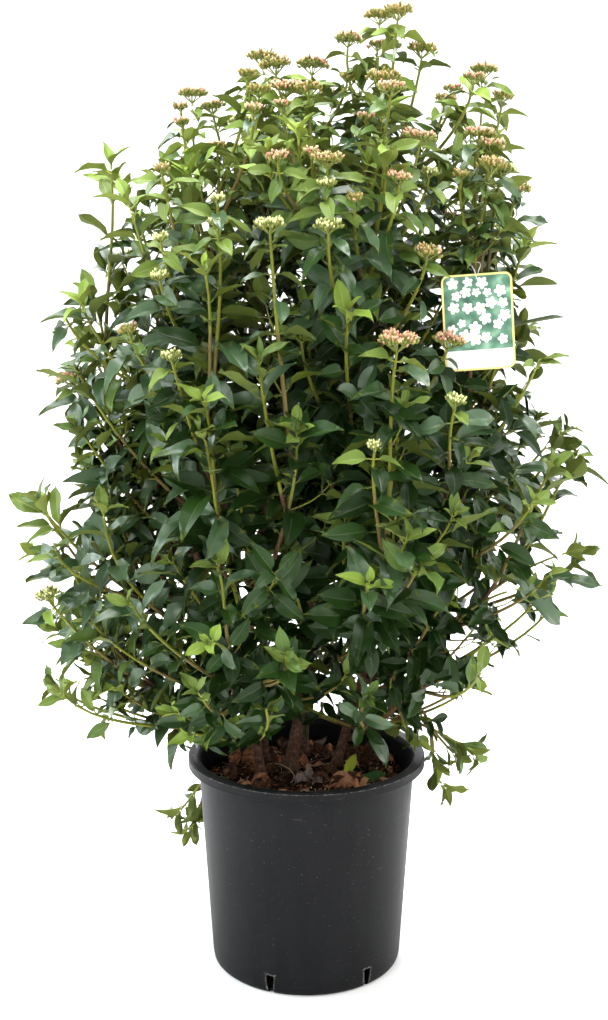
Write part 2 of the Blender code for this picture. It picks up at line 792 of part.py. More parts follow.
def grow_side_twigs(mass, root, axis, turn, share, leaf_length):
    """A pair of opposite side twigs, shortened until they fit, with two leaf pairs and a tip."""
    side = axis.orthogonal().normalized()
    for half in (0.0, pi):
        out = Quaternion(axis, turn + half) @ side
        spread = mass.chance.uniform(0.75, 1.0)
        way = (axis * cos(spread) + out * sin(spread)).normalized()
        twig = None
        for size in (1.0, 0.8, 0.62, 0.46, 0.34):
            reach = TWIG_LENGTH * size * (1.0 - 0.45 * share)
            elbow = root + way * reach * 0.55
            tip = elbow + (way + axis * 0.5 + Vector((0, 0, 0.35))).normalized() * reach * 0.45
            points = [root, elbow, tip]
            if mass.add_twig(points, [TWIG_RADIUS, TWIG_RADIUS * 0.85, TWIG_TIP_RADIUS], TWIG_SLACK):
                twig = points
                break
        if twig is None:
            mass.add_leaf(root, way, (axis - way * axis.dot(way)).normalized(), leaf_length, LEAF_SLACK)
            continue
        lower, upper = (twig[1] - twig[0]).normalized(), (twig[2] - twig[1]).normalized()
        quarter = mass.chance.uniform(0, pi)
        mass.add_pair(twig[1] - lower * 0.003, lower, quarter, leaf_length, 1.0, LEAF_SLACK)
        mass.add_pair(twig[2] - upper * 0.003, upper, quarter + pi / 2, leaf_length * 0.88, 0.75,
                      LEAF_SLACK)


# Fusing a mass into one closed body
def fuse(name, pieces, collection, material):
    """Join the pieces into one closed body, without a leaf where one spoils the union."""
    trials = [(None, "EXACT"), (None, "MANIFOLD")]
    trials += [(piece, "EXACT") for piece in reversed(pieces) if piece.name.startswith("leaf")]
    for left_out, solver in trials:
        mesh = join_pieces(name, [piece for piece in pieces if piece != left_out], solver)
        keep_outer_body(mesh)
        if is_closed(mesh):
            if solver == "MANIFOLD" or left_out is not None:
                print(f"{name}: joined by {solver}, leaving out {left_out}")
            return make_object(name, mesh, collection, material)
        bpy.data.meshes.remove(mesh)
    raise RuntimeError(f"{name} can't be joined")


def join_pieces(name, pieces, solver):
    """One Boolean union on a collection of the pieces, applied."""
    group = new_collection(name + "_pieces")
    things = [make_object(f"{name}_piece_{k}", mesh, group) for k, mesh in enumerate(pieces)]
    first = things[0]
    group.objects.unlink(first)
    scene.collection.objects.link(first)
    union = first.modifiers.new("Join", "BOOLEAN")
    union.operation = "UNION"
    union.operand_type = "COLLECTION"
    union.collection = group
    union.solver = solver
    mesh = evaluated_mesh(first)
    for thing in things:
        remove_object(thing)
    bpy.data.collections.remove(group)
    return mesh


def keep_outer_body(mesh):
    """Drop what is loose from the largest body: stray scraps and the walls of sealed hollows."""
    work = bmesh.new()
    work.from_mesh(mesh)
    bmesh.ops.triangulate(work, faces=work.faces)
    left = set(work.verts)
    bodies = []
    while left:
        front = [left.pop()]
        body = set(front)
        while front:
            vert = front.pop()
            for edge in vert.link_edges:
                other = edge.other_vert(vert)
                if other in left:
                    left.discard(other)
                    body.add(other)
                    front.append(other)
        bodies.append(body)
    bodies.sort(key=len)
    for body in bodies[:-1]:
        bmesh.ops.delete(work, geom=list(body), context="VERTS")
    work.to_mesh(mesh)
    work.free()


def is_closed(mesh):
    """Whether every edge has two faces and no face is a sliver that merging would close up."""
    work = bmesh.new()
    work.from_mesh(mesh)
    bmesh.ops.remove_doubles(work, verts=work.verts, dist=WELD)
    closed = len(work.faces) > 0 and all(len(edge.link_faces) == 2 for edge in work.edges)
    work.free()
    return closed


# The boughs and stems as solids
def make_limbs(leaders, collection, guides, material):
    """A tube for each stem and bough, ending where its mass begins."""
    limbs = {}
    for name, leader in leaders.items():
        is_stem = leader["parent"] is None
        if not is_stem and leader["begin"] < 0.055:
            print(f"{name}: the mass begins {leader['begin'] * 1000:.0f} mm from the stem")
        begin = leader["begin"]
        count = max(int(begin / LIMB_STEP), 3) + 1
        if is_stem:
            points = leader["points"][:2]
            points += sub_path(leader["points"], 0.022, begin - JOINT_STRAIGHT, count)
        else:
            points = sub_path(leader["points"], 0.0, begin - JOINT_STRAIGHT, count)
        points.append(point_along(leader["points"], begin)[0])
        lengths = path_lengths(points)
        flare = ROOT_FLARE if is_stem else 0.0
        radii = limb_taper(lengths, leader["radius"], BOUGH_TIP_RADIUS, flare)
        node = ("stem_" + name[4:]) if is_stem else ("bough_" + name)
        leader["tube"] = (points, radii)
        limbs[name] = (node, points, radii, is_stem)
    made = []
    for name, (node, points, radii, is_stem) in limbs.items():
        resolution = 2 if is_stem else 1
        if is_stem:
            made.append(tube_curve(node, points, radii, resolution, collection, material))
            continue
        mesh = tube_mesh(node, points, radii, resolution)
        limb = make_object(node, mesh, collection, material)
        parent_points, parent_radii = leaders[leaders[name]["parent"]]["tube"]
        wider = [radius + GAP for radius in parent_radii]
        cutter = make_object(f"{node}_cutter", tube_mesh("cutter", parent_points, wider, 2), guides)
        cutter.hide_render = True
        cutter.display_type = "WIRE"
        cut = limb.modifiers.new("Foot", "BOOLEAN")
        cut.operation = "DIFFERENCE"
        cut.object = cutter
        made.append(limb)
    return made


def obstacle_tree(leaders, things):
    """Everything that foliage keeps clear of: the limbs, a little fattened, and the solid pieces."""
    corners, faces = [], []

    def take(mesh, matrix):
        base = len(corners)
        corners.extend(matrix @ vert.co for vert in mesh.vertices)
        faces.extend(tuple(base + k for k in face.vertices) for face in mesh.polygons)

    for leader in leaders.values():
        points, radii = leader["tube"]
        wider = [radius + LIMB_MARGIN for radius in radii]
        # The end stops short, so that the mass's own shoot can start against it
        shortened = points[:-1] + [points[-1].lerp(points[-2], 0.12)]
        take(tube_mesh("clearance", shortened, wider, 1), Matrix.Identity(4))
    for thing in things:
        take(welded_mesh(thing), thing.matrix_world.copy())
    return BVHTree.FromPolygons(corners, faces)


# The plant label and its tie
def rounded_rectangle(width, height, corner, steps=3):
    """Corners of a card's outline, round the middle, with rounded corners."""
    points = []
    for number, (sx, sy) in enumerate(((1, 1), (-1, 1), (-1, -1), (1, -1))):
        centre = Vector((sx * (width / 2 - corner), sy * (height / 2 - corner)))
        for k in range(steps + 1):
            angle = pi / 2 * (number + k / steps)
            points.append(centre + Vector((cos(angle), sin(angle))) * corner)
    return points


def make_card(hole, collection, material):
    """A thin card with rounded corners and a hole near its top edge, which hangs at the hole."""
    curve = bpy.data.curves.new("label_card", "CURVE")
    curve.dimensions = "2D"
    curve.fill_mode = "BOTH"
    curve.extrude = LABEL_THICKNESS / 2
    drop = Vector((0, LABEL_HEIGHT / 2 - LABEL_HOLE_INSET))
    outline = [point - drop for point in rounded_rectangle(LABEL_WIDTH, LABEL_HEIGHT, LABEL_CORNER)]
    angles = [2 * pi * k / LABEL_HOLE_SIDES for k in range(LABEL_HOLE_SIDES)]
    ring = [Vector((cos(angle), sin(angle))) * LABEL_HOLE_RADIUS for angle in angles]
    for loop in (outline, ring):
        spline = curve.splines.new("POLY")
        spline.points.add(len(loop) - 1)
        spline.use_cyclic_u = True
        for place, point in zip(spline.points, loop):
            place.co = (point.x, point.y, 0.0, 1.0)
    card = make_object("label_card", curve, collection, material)
    card.location = hole
    card.rotation_euler = (radians(90), LABEL_TURN, 0.0)
    return card


def make_label(leaders, collection, label_material, tie_material):
    """The card and the tie that it hangs by: round the back of the shoot and through the hole."""
    points, radii = leader_shoot(leaders[LABEL_LEADER])
    stem, _ = point_at_height(points, LABEL_HANG_HEIGHT)
    shoot = swept_prism(points, radii)
    faces = [tuple(face.vertices) for face in shoot.polygons]
    tree = BVHTree.FromPolygons([vert.co for vert in shoot.vertices], faces)
    touch = tree.ray_cast(stem + Vector((0, 0.02, 0)), Vector((0, -1, 0)))[0]
    back = touch.y - stem.y + GAP + TIE_RADIUS
    hole = stem + Vector((0.0, -LABEL_FORWARD, -LABEL_DROP))
    card = make_card(hole, collection, label_material)

    rest = LABEL_DROP - LABEL_HOLE_RADIUS + TIE_RADIUS + GAP
    front, behind = -LABEL_FORWARD - 0.0030, -LABEL_FORWARD + 0.0028
    offsets = [
        (0.0, back, 0.0), (-TIE_WRAP, 0.0014, -0.0005), (-0.0032, front + 0.0015, -0.0075),
        (-0.0008, front, -LABEL_DROP + 0.0045), (0.0, -LABEL_FORWARD, -rest),
        (0.0008, behind, -LABEL_DROP + 0.0045), (0.0028, behind + 0.0012, -0.0080),
        (TIE_WRAP, 0.0014, -0.0005),
    ]
    curve = bpy.data.curves.new("label_tie", "CURVE")
    curve.dimensions = "3D"
    curve.bevel_depth = TIE_RADIUS
    curve.bevel_resolution = 0
    curve.resolution_u = 3
    curve.render_resolution_u = 0
    loop = curve.splines.new("BEZIER")
    loop.bezier_points.add(len(offsets) - 1)
    loop.use_cyclic_u = True
    for place, offset in zip(loop.bezier_points, offsets):
        place.co = stem + Vector(offset)
        place.handle_left_type = "AUTO"
        place.handle_right_type = "AUTO"
    return card, make_object("label_tie", curve, collection, tie_material)


def main():
    clear_scene()
    plant = new_collection("potted laurustinus")
    guides = new_collection("guides")
    pot_material = make_material("black pot plastic", POT_BLACK, 0.55)
    soil_material = make_material("compost", SOIL_BROWN, 0.95)
    bark_material = make_material("bark", BARK_BROWN, 0.80)
    label_material = make_material("printed card", LABEL_GREEN, 0.40)
    tie_material = make_material("white tie", TIE_WHITE, 0.45)
    leaf_materials = [make_material(f"leaf green {k + 1}", colour, 0.42)
                      for k, colour in enumerate(LEAF_GREENS)]

    pot = make_pot(plant, guides, pot_material)
    soil = make_soil(plant, soil_material)
    leaders = plan_leaders()
    plan_spaces(leaders)
    make_limbs(leaders, plant, guides, bark_material)
    card, tie = make_label(leaders, plant, label_material, tie_material)
    obstacles = obstacle_tree(leaders, [pot, soil, card, tie])
    bpy.context.view_layer.update()
    view = CardView(card)

    total_leaves = 0
    for number, name in enumerate(leaders):
        mass = grow_mass(name, leaders, obstacles, view)
        node = "foliage_" + name
        material = leaf_materials[number % len(leaf_materials)]
        thing = fuse(node, mass.pieces, plant, material)
        total_leaves += mass.leaves
        print(f"{node}: {mass.leaves} leaves, {len(thing.data.polygons)} triangles")
    print(f"{len(leaders)} masses, {total_leaves} leaves in all")


main()
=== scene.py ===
# %% [markdown]
# # A potted laurustinus
#
# A laurustinus is an evergreen garden shrub. It is sold in a black nursery pot, with its shoots
# standing up like a vase, glossy leaves in opposite pairs, and domed heads of pink buds at the tips.
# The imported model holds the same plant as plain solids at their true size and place. This lesson
# dresses it: each solid is either given a better material or replaced by a finer mesh that grows in
# the same place.

import json
import random
from math import cos, exp, pi, radians, sin, sqrt

import bmesh
import bpy
import numpy as np
from mathutils import Matrix, Quaternion, Vector, noise

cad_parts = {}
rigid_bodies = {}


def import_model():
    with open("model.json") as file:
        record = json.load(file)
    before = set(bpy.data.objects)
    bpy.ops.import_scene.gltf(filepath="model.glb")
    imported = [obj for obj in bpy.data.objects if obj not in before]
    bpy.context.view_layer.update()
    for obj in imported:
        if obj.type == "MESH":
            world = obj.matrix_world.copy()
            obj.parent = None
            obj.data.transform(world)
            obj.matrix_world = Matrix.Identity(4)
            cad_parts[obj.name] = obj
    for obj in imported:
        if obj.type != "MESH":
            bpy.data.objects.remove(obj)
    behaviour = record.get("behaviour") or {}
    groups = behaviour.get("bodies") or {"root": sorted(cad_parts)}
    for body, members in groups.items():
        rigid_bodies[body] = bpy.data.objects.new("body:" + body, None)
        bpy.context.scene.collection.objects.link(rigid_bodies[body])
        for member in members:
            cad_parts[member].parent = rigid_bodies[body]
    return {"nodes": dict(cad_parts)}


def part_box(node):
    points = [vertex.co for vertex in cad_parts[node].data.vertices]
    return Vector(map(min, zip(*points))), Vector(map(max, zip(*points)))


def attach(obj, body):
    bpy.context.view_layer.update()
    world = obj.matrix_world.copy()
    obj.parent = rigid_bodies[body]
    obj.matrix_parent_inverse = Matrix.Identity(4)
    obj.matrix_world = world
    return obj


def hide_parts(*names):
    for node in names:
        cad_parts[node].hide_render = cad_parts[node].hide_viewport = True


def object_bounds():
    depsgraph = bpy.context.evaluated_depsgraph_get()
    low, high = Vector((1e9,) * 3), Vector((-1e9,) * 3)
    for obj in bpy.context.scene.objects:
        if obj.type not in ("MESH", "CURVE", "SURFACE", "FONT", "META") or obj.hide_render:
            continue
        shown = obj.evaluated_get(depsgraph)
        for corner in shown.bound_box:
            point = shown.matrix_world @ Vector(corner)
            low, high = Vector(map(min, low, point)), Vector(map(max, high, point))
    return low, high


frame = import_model()
cad_low, cad_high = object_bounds()
print("the solids measure", [round((high - low) * 1000) for low, high in zip(cad_low, cad_high)], "mm")

# %% [markdown]
# ## Driving sizes
#
# The sizes repeat those of the solids, in metres. The stems' feet and the furthest tips of each shoot
# are the only places that are given one by one. Every twig and leaf follows from them by a rule.

# %% Sizes of the pot, the stems and the crown
POT_HEIGHT = 0.272
RIM_RADIUS = 0.150
RIM_OVERHANG = 0.0125
RIM_DROP = 0.0115
BASE_RADIUS = 0.120
BASE_ROUND = 0.007
POT_WALL = 0.0022
POT_FLOOR = 0.003
NOTCH_COUNT = 6
NOTCH_FIRST_ANGLE = radians(-111.7)
NOTCH_HEIGHT = 0.025
NOTCH_TOP_WIDTH = 0.011
NOTCH_FOOT_WIDTH = 0.006
NOTCH_DEPTH = 0.014
SOIL_LEVEL = 0.243
SOIL_EDGE_LEVEL = 0.236

CROWN_REACH = 0.365
CROWN_WAIST = 0.545
CROWN_TOP = 1.185
CROWN_FOOT = 0.255

STEMS = {
    "centre": ((-0.020, 0.018), 0.0080, (0.085, 0.000, 1.176)),
    "left": ((-0.056, 0.046), 0.0062, (-0.053, 0.030, 1.134)),
    "right": ((0.040, 0.032), 0.0056, (0.211, 0.020, 1.118)),
    "far_left": ((-0.058, -0.008), 0.0055, (-0.135, 0.000, 1.088)),
    "back": ((-0.004, 0.068), 0.0060, (0.030, 0.130, 1.100)),
}
ROOT_FLARE = 0.45
ROOT_FLARE_HEIGHT = 0.014
RINGS = {
    "upper": dict(count=7, bearing=180, reach=0.260, height=0.955, radius=0.0046, rise=1.6),
    "middle": dict(count=6, bearing=208, reach=0.315, height=0.760, radius=0.0044, rise=1.0),
    "lower": dict(count=5, bearing=180, reach=0.350, height=0.535, radius=0.0040, rise=0.35),
}
OUTSTANDING = {
    "upper_1": (-0.239, 0.000, 1.004),
    "upper_2": (-0.132, -0.150, 1.000),
    "upper_3": (0.070, -0.175, 1.010),
    "upper_4": (0.200, -0.184, 0.995),
    "upper_5": (0.264, 0.030, 0.917),
    "middle_1": (-0.289, -0.060, 0.755),
    "middle_3": (0.190, -0.235, 0.700),
    "middle_4": (0.328, -0.010, 0.700),
    "lower_1": (-0.371, 0.000, 0.540),
    "lower_4": (0.352, -0.050, 0.552),
}
UPRIGHT = {"upper_4": 3.4}
SKIRT = {
    "skirt_left": dict(tip=(-0.316, -0.070, 0.372), rise=-0.3),
    "skirt_right": dict(tip=(0.240, -0.010, 0.262), rise=-0.5),
    "skirt_back": dict(tip=(-0.168, 0.185, 0.080), rise=-1.6),
}
SKIRT_RADIUS = 0.0034
TIP_REACH = {"top": 0.028, "upper": 0.034, "middle": 0.040, "lower": 0.046, "skirt": 0.040}

# %% [markdown]
# ## Small helpers
#
# A maker of scenes needs the same few tools again and again: a plain material, an object from a
# bmesh, and a way to point along a bent path. They are kept short, so that the steps below read as
# what they make.

# %% Materials and objects
scene = bpy.context.scene


def plain_material(name, colour, roughness, specular=0.5):
    """A finish with one colour all over, for small things that are dealt out by slot."""
    material = bpy.data.materials.new(name)
    material.use_nodes = True
    shader = material.node_tree.nodes["Principled BSDF"]
    shader.inputs["Base Color"].default_value = (*colour, 1.0)
    shader.inputs["Roughness"].default_value = roughness
    shader.inputs["Specular IOR Level"].default_value = specular
    return material


def object_from(name, mesh, materials, smooth=True):
    for material in materials:
        mesh.materials.append(material)
    if smooth:
        mesh.shade_smooth()
    thing = bpy.data.objects.new(name, mesh)
    scene.collection.objects.link(thing)
    return thing


def object_from_work(name, work, materials, smooth=True):
    bmesh.ops.recalc_face_normals(work, faces=work.faces)
    mesh = bpy.data.meshes.new(name)
    work.to_mesh(mesh)
    work.free()
    return object_from(name, mesh, materials, smooth)


def settle(piece, nodes=()):
    """Say what a finished piece rides on and which solids it stands for."""
    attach(piece, "root")
    if nodes:
        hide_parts(*nodes)
    print(f"{piece.name}: {len(piece.data.polygons)} faces")
    return piece


# %% Shader maths as expressions
class Socket:
    """A node's output that can be used in sums, so that a formula reads as one."""

    def __init__(self, tree, output):
        self.tree = tree
        self.output = output

    def _maths(self, operation, first, second):
        made = self.tree.node("ShaderNodeMath", dict(operation=operation), {0: first, 1: second})
        return made

    def __add__(self, other):
        return self._maths("ADD", self, other)

    def __sub__(self, other):
        return self._maths("SUBTRACT", self, other)

    def __mul__(self, other):
        return self._maths("MULTIPLY", self, other)

    def __radd__(self, other):
        return self._maths("ADD", other, self)

    def __rsub__(self, other):
        return self._maths("SUBTRACT", other, self)

    def __rmul__(self, other):
        return self._maths("MULTIPLY", other, self)

    def __truediv__(self, other):
        return self._maths("DIVIDE", self, other)


class Finish:
    """A material under construction: one method makes every node."""

    def __init__(self, name, roughness=0.5):
        self.material = bpy.data.materials.new(name)
        self.material.use_nodes = True
        self.nodes = self.material.node_tree.nodes
        self.links = self.material.node_tree.links
        self.shader = self.nodes["Principled BSDF"]
        self.shader.inputs["Roughness"].default_value = roughness

    def node(self, kind, settings=None, values=None, output=0):
        made = self.nodes.new(kind)
        for key, value in (settings or {}).items():
            if key == "stops":
                ramp = made.color_ramp.elements
                while len(ramp) < len(value):
                    ramp.new(0.5)
                for element, (place, colour) in zip(ramp, value):
                    element.position = place
                    element.color = colour if len(colour) == 4 else (*colour, 1.0)
            else:
                setattr(made, key, value)
        for key, value in (values or {}).items():
            self.feed(made.inputs[key], value)
        return Socket(self, made.outputs[output])

    def feed(self, socket, value):
        if isinstance(value, Socket):
            self.links.new(value.output, socket)
        else:
            socket.default_value = value

    def place(self):
        return self.node("ShaderNodeTexCoord", output="Object")

    def noise(self, place, scale, detail=3.0, roughness=0.5):
        values = {"Vector": place, "Scale": scale, "Detail": detail, "Roughness": roughness}
        return self.node("ShaderNodeTexNoise", None, values)

    def ramp(self, factor, stops):
        return self.node("ShaderNodeValToRGB", dict(stops=stops), {0: factor})

    def mix(self, factor, first, second):
        values = {0: factor, 6: first, 7: second}
        return self.node("ShaderNodeMix", dict(data_type="RGBA"), values, output=2)

    def step(self, value, low, high):
        """0 below low, 1 above high, and smooth between them."""
        values = {"Value": value, "From Min": low, "From Max": high}
        return self.node("ShaderNodeMapRange", dict(interpolation_type="SMOOTHSTEP"), values)

    def bump(self, height, distance, strength=1.0):
        self.shader.inputs["Normal"].default_value = (0, 0, 0)
        made = self.node("ShaderNodeBump", None, {"Height": height, "Strength": strength, "Distance": distance})
        self.feed(self.shader.inputs["Normal"], made)

    def set(self, **values):
        for key, value in values.items():
            self.feed(self.shader.inputs[key.replace("_", " ").title()], value)
        return self.material


def grey(level):
    return (level, level, level, 1.0)


# %% [markdown]
# ## Camera and light
#
# The camera stands where the picture was taken from: 1.73 m in front of the pot's middle, at the
# height of a chest, looking down by ten degrees. It was worked out from the two ellipses of the pot.
# The floor is a wide pale bowl, so that it has no edge from any side, and the light is soft.

# %% Camera
CAMERA_PLACE = (-0.0031, -1.730, 0.885)
CAMERA_PITCH = radians(9.88)
CAMERA_LENS = 50.2

lens = bpy.data.cameras.new("camera")
lens.lens = CAMERA_LENS
camera = bpy.data.objects.new("camera", lens)
camera.location = CAMERA_PLACE
camera.rotation_euler = (pi / 2 - CAMERA_PITCH, 0.0, 0.0)
scene.collection.objects.link(camera)
scene.camera = camera
scene.view_settings.view_transform = "Standard"

# %% Floor and lights
FLOOR_RADIUS = 4.2
BOWL_ROUND = 1.6
WALL_HEIGHT = 3.4


def make_floor():
    work = bmesh.new()
    profile = [(0.001, 0.0), (FLOOR_RADIUS - BOWL_ROUND, 0.0)]
    for k in range(1, 13):
        angle = pi / 2 * k / 12
        profile.append((FLOOR_RADIUS - BOWL_ROUND + BOWL_ROUND * sin(angle), BOWL_ROUND * (1 - cos(angle))))
    profile.append((FLOOR_RADIUS, WALL_HEIGHT))
    verts = [work.verts.new((radius, 0.0, height)) for radius, height in profile]
    edges = [work.edges.new(pair) for pair in zip(verts, verts[1:])]
    bmesh.ops.spin(work, geom=verts + edges, cent=(0, 0, 0), axis=(0, 0, 1), angle=2 * pi,
                   steps=96, use_merge=True)
    bmesh.ops.remove_doubles(work, verts=work.verts, dist=0.002)
    return object_from_work("floor", work, [plain_material("pale floor", (0.86, 0.86, 0.855), 0.9)])


def add_softbox(name, place, target, size, power, colour=(1.0, 1.0, 1.0)):
    light = bpy.data.lights.new(name, "AREA")
    light.shape = "RECTANGLE"
    light.size, light.size_y = size
    light.energy = power
    light.color = colour
    thing = bpy.data.objects.new(name, light)
    thing.location = place
    thing.rotation_euler = (Vector(target) - Vector(place)).to_track_quat("-Z", "Y").to_euler()
    thing.visible_camera = False
    scene.collection.objects.link(thing)


make_floor()
world = bpy.data.worlds.new("soft daylight")
world.use_nodes = True
world.node_tree.nodes["Background"].inputs["Color"].default_value = (1.0, 0.995, 0.97, 1.0)
world.node_tree.nodes["Background"].inputs["Strength"].default_value = 0.42
scene.world = world
add_softbox("front left softbox", (-1.6, -2.3, 2.6), (0, 0, 0.75), (1.2, 1.2), 42)
add_softbox("front right softbox", (1.7, -2.2, 2.4), (0, 0, 0.7), (1.2, 1.4), 22)
add_softbox("left softbox", (-2.7, 0.2, 1.7), (0, 0, 0.6), (1.6, 2.0), 88, (0.86, 0.94, 1.0))
add_softbox("right softbox", (2.7, 0.3, 1.6), (0, 0, 0.6), (1.6, 2.0), 46)
add_softbox("top softbox", (0.1, 0.1, 3.2), (0, 0, 0.5), (2.4, 2.4), 235)
add_softbox("back softbox", (-0.5, 2.7, 2.0), (0, 0, 0.6), (2.0, 1.8), 80)


# %% [markdown]
# ## Paths of the shoots
#
# Each stem and each bough follows a smooth curve that leaves its foot one way and comes to its tip
# another. Foliage grows on the same curve further up, so one path serves the wood and the leaves.

# %% Curves and places along them
def curved_path(start, start_way, end, end_way, steps, bend=1.0):
    """Points of a smooth curve that leaves start along start_way and comes in to end along end_way."""
    span = (end - start).length
    first = start + start_way.normalized() * span * 0.38 * bend
    last = end - end_way.normalized() * span * 0.36 * bend
    points = []
    for step in range(steps + 1):
        share = step / steps
        left = 1.0 - share
        points.append(left ** 3 * start + 3 * left ** 2 * share * first
                      + 3 * left * share ** 2 * last + share ** 3 * end)
    return points


def path_length(points):
    return sum((there - here).length for here, there in zip(points, points[1:]))


def point_along(points, distance):
    """The point and the direction at a distance along the path."""
    for here, there in zip(points, points[1:]):
        step = there - here
        if distance <= step.length:
            return here + step.normalized() * distance, step.normalized()
        distance -= step.length
    return points[-1].copy(), (points[-1] - points[-2]).normalized()


def stem_paths():
    paths = {}
    for name, (foot, radius, tip) in STEMS.items():
        start = Vector((*foot, SOIL_LEVEL + 0.0003))
        lean = Vector((tip[0] - start.x, tip[1] - start.y, 0.0))
        end_way = (Vector((0, 0, 1)) + lean * 0.25).normalized()
        first = curved_path(start + Vector((0, 0, 0.006)), Vector((0, 0, 1)) + lean * 1.6,
                            Vector(tip) - end_way * TIP_REACH["top"], end_way, 30)
        paths["top_" + name] = dict(points=[start] + first, radius=radius, parent=None)
    return paths


def bough_foot(node_name, paths):
    """Where a bough leaves its stem: the end of its solid that lies nearest to a stem's axis."""
    corners = np.array([vert.co for vert in frame["nodes"][node_name].data.vertices])
    best = None
    for stem_name in [name for name in paths if name.startswith("top_")]:
        stem = paths[stem_name]["points"]
        whole = path_length(stem)
        axis = np.array([point_along(stem, whole * k / 400)[0] for k in range(401)])
        apart = np.linalg.norm(corners[:, None, :] - axis[None, :, :], axis=2)
        nearest = apart.min(axis=1)
        if best is None or nearest.min() < best[0]:
            close = nearest < nearest.min() + 0.0012
            place = float(apart.argmin(axis=1)[close].mean()) / 400 * whole
            best = (nearest.min(), stem_name, place - 0.5 * nearest.min())
    start, along = point_along(paths[best[1]]["points"], best[2])
    return best[1], start, along


def ring_tips():
    """The furthest tip of each ring mass: its place in the ring, or its own where it stands out."""
    for ring_name, ring in RINGS.items():
        for number in range(ring["count"]):
            name = f"{ring_name}_{number + 1}"
            bearing = radians(ring["bearing"] + 360.0 * number / ring["count"])
            wave = 1.0 + 0.05 * sin(number * 2.4)
            tip = (ring["reach"] * wave * cos(bearing), ring["reach"] * wave * sin(bearing),
                   ring["height"] + 0.03 * cos(number * 2.4))
            yield name, Vector(OUTSTANDING.get(name, tip)), ring["radius"], UPRIGHT.get(name, ring["rise"])
    for name, row in SKIRT.items():
        yield name, Vector(row["tip"]), SKIRT_RADIUS, row["rise"]


paths = stem_paths()
for name, tip, radius, rise in ring_tips():
    outward = Vector((tip.x, tip.y, 0.0)).normalized()
    end_way = (outward + Vector((0, 0, rise))).normalized()
    end = tip - end_way * TIP_REACH[name.split("_")[0]]
    parent, start, along = bough_foot("bough_" + name, paths)
    points = curved_path(start, along * 0.55 + outward, end, end_way, 18)
    paths[name] = dict(points=points, radius=radius, parent=parent)
for path in paths.values():
    path["length"] = path_length(path["points"])
print(len(paths), "paths, the longest", round(max(p["length"] for p in paths.values()), 3), "m")

# %% [markdown]
# ## Bark
#
# The wood is a tube along each path whose radius wanders: swellings at the old leaf joints, shallow
# furrows near the foot, and a flare where it enters the compost. The relief is in the mesh itself.
# An attribute keeps how young each place is, and the finish turns from grey brown to green with it.

# %% Tubes with relief
NODE_STEP = 0.045


def limb_radius(path, place):
    share = place / path["length"]
    radius = path["radius"] * (1.0 - share) + 0.0012 * share
    if path["parent"] is None:
        radius += path["radius"] * ROOT_FLARE * exp(-place / ROOT_FLARE_HEIGHT)
    return radius


def add_limb(work, age_layer, name, path, sides, ring_step, start, end):
    """A tube along a path with the bark's relief in its radius."""
    count = max(int((end - start) / ring_step), 4)
    rings = []
    turn = None
    seed = Vector((len(name) * 3.1, sum(map(ord, name)) * 0.17, 0.0))
    for k in range(count + 1):
        place = start + (end - start) * k / count
        centre, way = point_along(path["points"], place)
        turn = way.to_track_quat("Z", "X") if turn is None else (
            (turn @ Vector((0, 0, 1))).rotation_difference(way) @ turn)
        radius = limb_radius(path, place)
        joint = exp(-(((place + 0.011) % NODE_STEP - 0.011) / 0.0035) ** 2)
        ring = []
        for side in range(sides):
            angle = 2 * pi * side / sides
            spot = Vector((cos(angle), sin(angle), place * 14)) + seed
            furrow = noise.noise(Vector((spot.x * 2.2, spot.y * 2.2, spot.z * 0.7)))
            grain = noise.noise(Vector((spot.x * 6, spot.y * 6, spot.z * 5)))
            swell = 1.0 + 0.07 * furrow + 0.045 * grain + 0.13 * joint
            arm = turn @ Vector((cos(angle), sin(angle), 0.0)) * radius * swell
            vert = work.verts.new(centre + arm)
            vert[age_layer] = place / path["length"]
            ring.append(vert)
        rings.append(ring)
    for low, high in zip(rings, rings[1:]):
        for side in range(sides):
            after = (side + 1) % sides
            work.faces.new((low[side], low[after], high[after], high[side]))
    work.faces.new(list(reversed(rings[0])))
    work.faces.new(rings[-1])


def bark_finish():
    finish = Finish("young bark", roughness=0.7)
    place = finish.place()
    age = finish.node("ShaderNodeAttribute", dict(attribute_name="age"), output="Fac")
    streaks = finish.noise(place, 260.0, 4.0, 0.6)
    blotch = finish.noise(place, 55.0, 2.0)
    old = finish.ramp(streaks, [(0.25, (0.020, 0.010, 0.006)), (0.5, (0.072, 0.034, 0.021)),
                                (0.78, (0.170, 0.100, 0.066))])
    rust = finish.ramp(streaks, [(0.3, (0.075, 0.034, 0.016)), (0.7, (0.170, 0.095, 0.045))])
    young = finish.ramp(blotch, [(0.3, (0.10, 0.12, 0.022)), (0.75, (0.17, 0.19, 0.035))])
    wood = finish.mix(finish.step(age + blotch * 0.2, 0.18, 0.45), old, rust)
    colour = finish.mix(finish.step(age + blotch * 0.25, 0.72, 1.0), wood, young)
    finish.bump(streaks, 0.0006, 0.7)
    finish.shader.inputs["Specular IOR Level"].default_value = 0.15
    return finish.set(base_color=colour)


def make_wood(name, chosen, sides, ring_step, nodes, material):
    work = bmesh.new()
    age_layer = work.verts.layers.float.new("age")
    for path_name in chosen:
        path = paths[path_name]
        start = 0.0 if path["parent"] is None else paths[path["parent"]]["radius"] * 0.3
        add_limb(work, age_layer, path_name, path, sides, ring_step, start, path["length"] * 0.97)
    return settle(object_from_work(name, work, [material]), nodes)


bark = bark_finish()
stem_names = [name for name in paths if name.startswith("top_")]
bough_names = [name for name in paths if not name.startswith("top_")]
make_wood("stems", stem_names, 14, 0.005, ["stem_" + name[4:] for name in stem_names], bark)
make_wood("boughs", bough_names, 8, 0.009, ["bough_" + name for name in bough_names], bark)

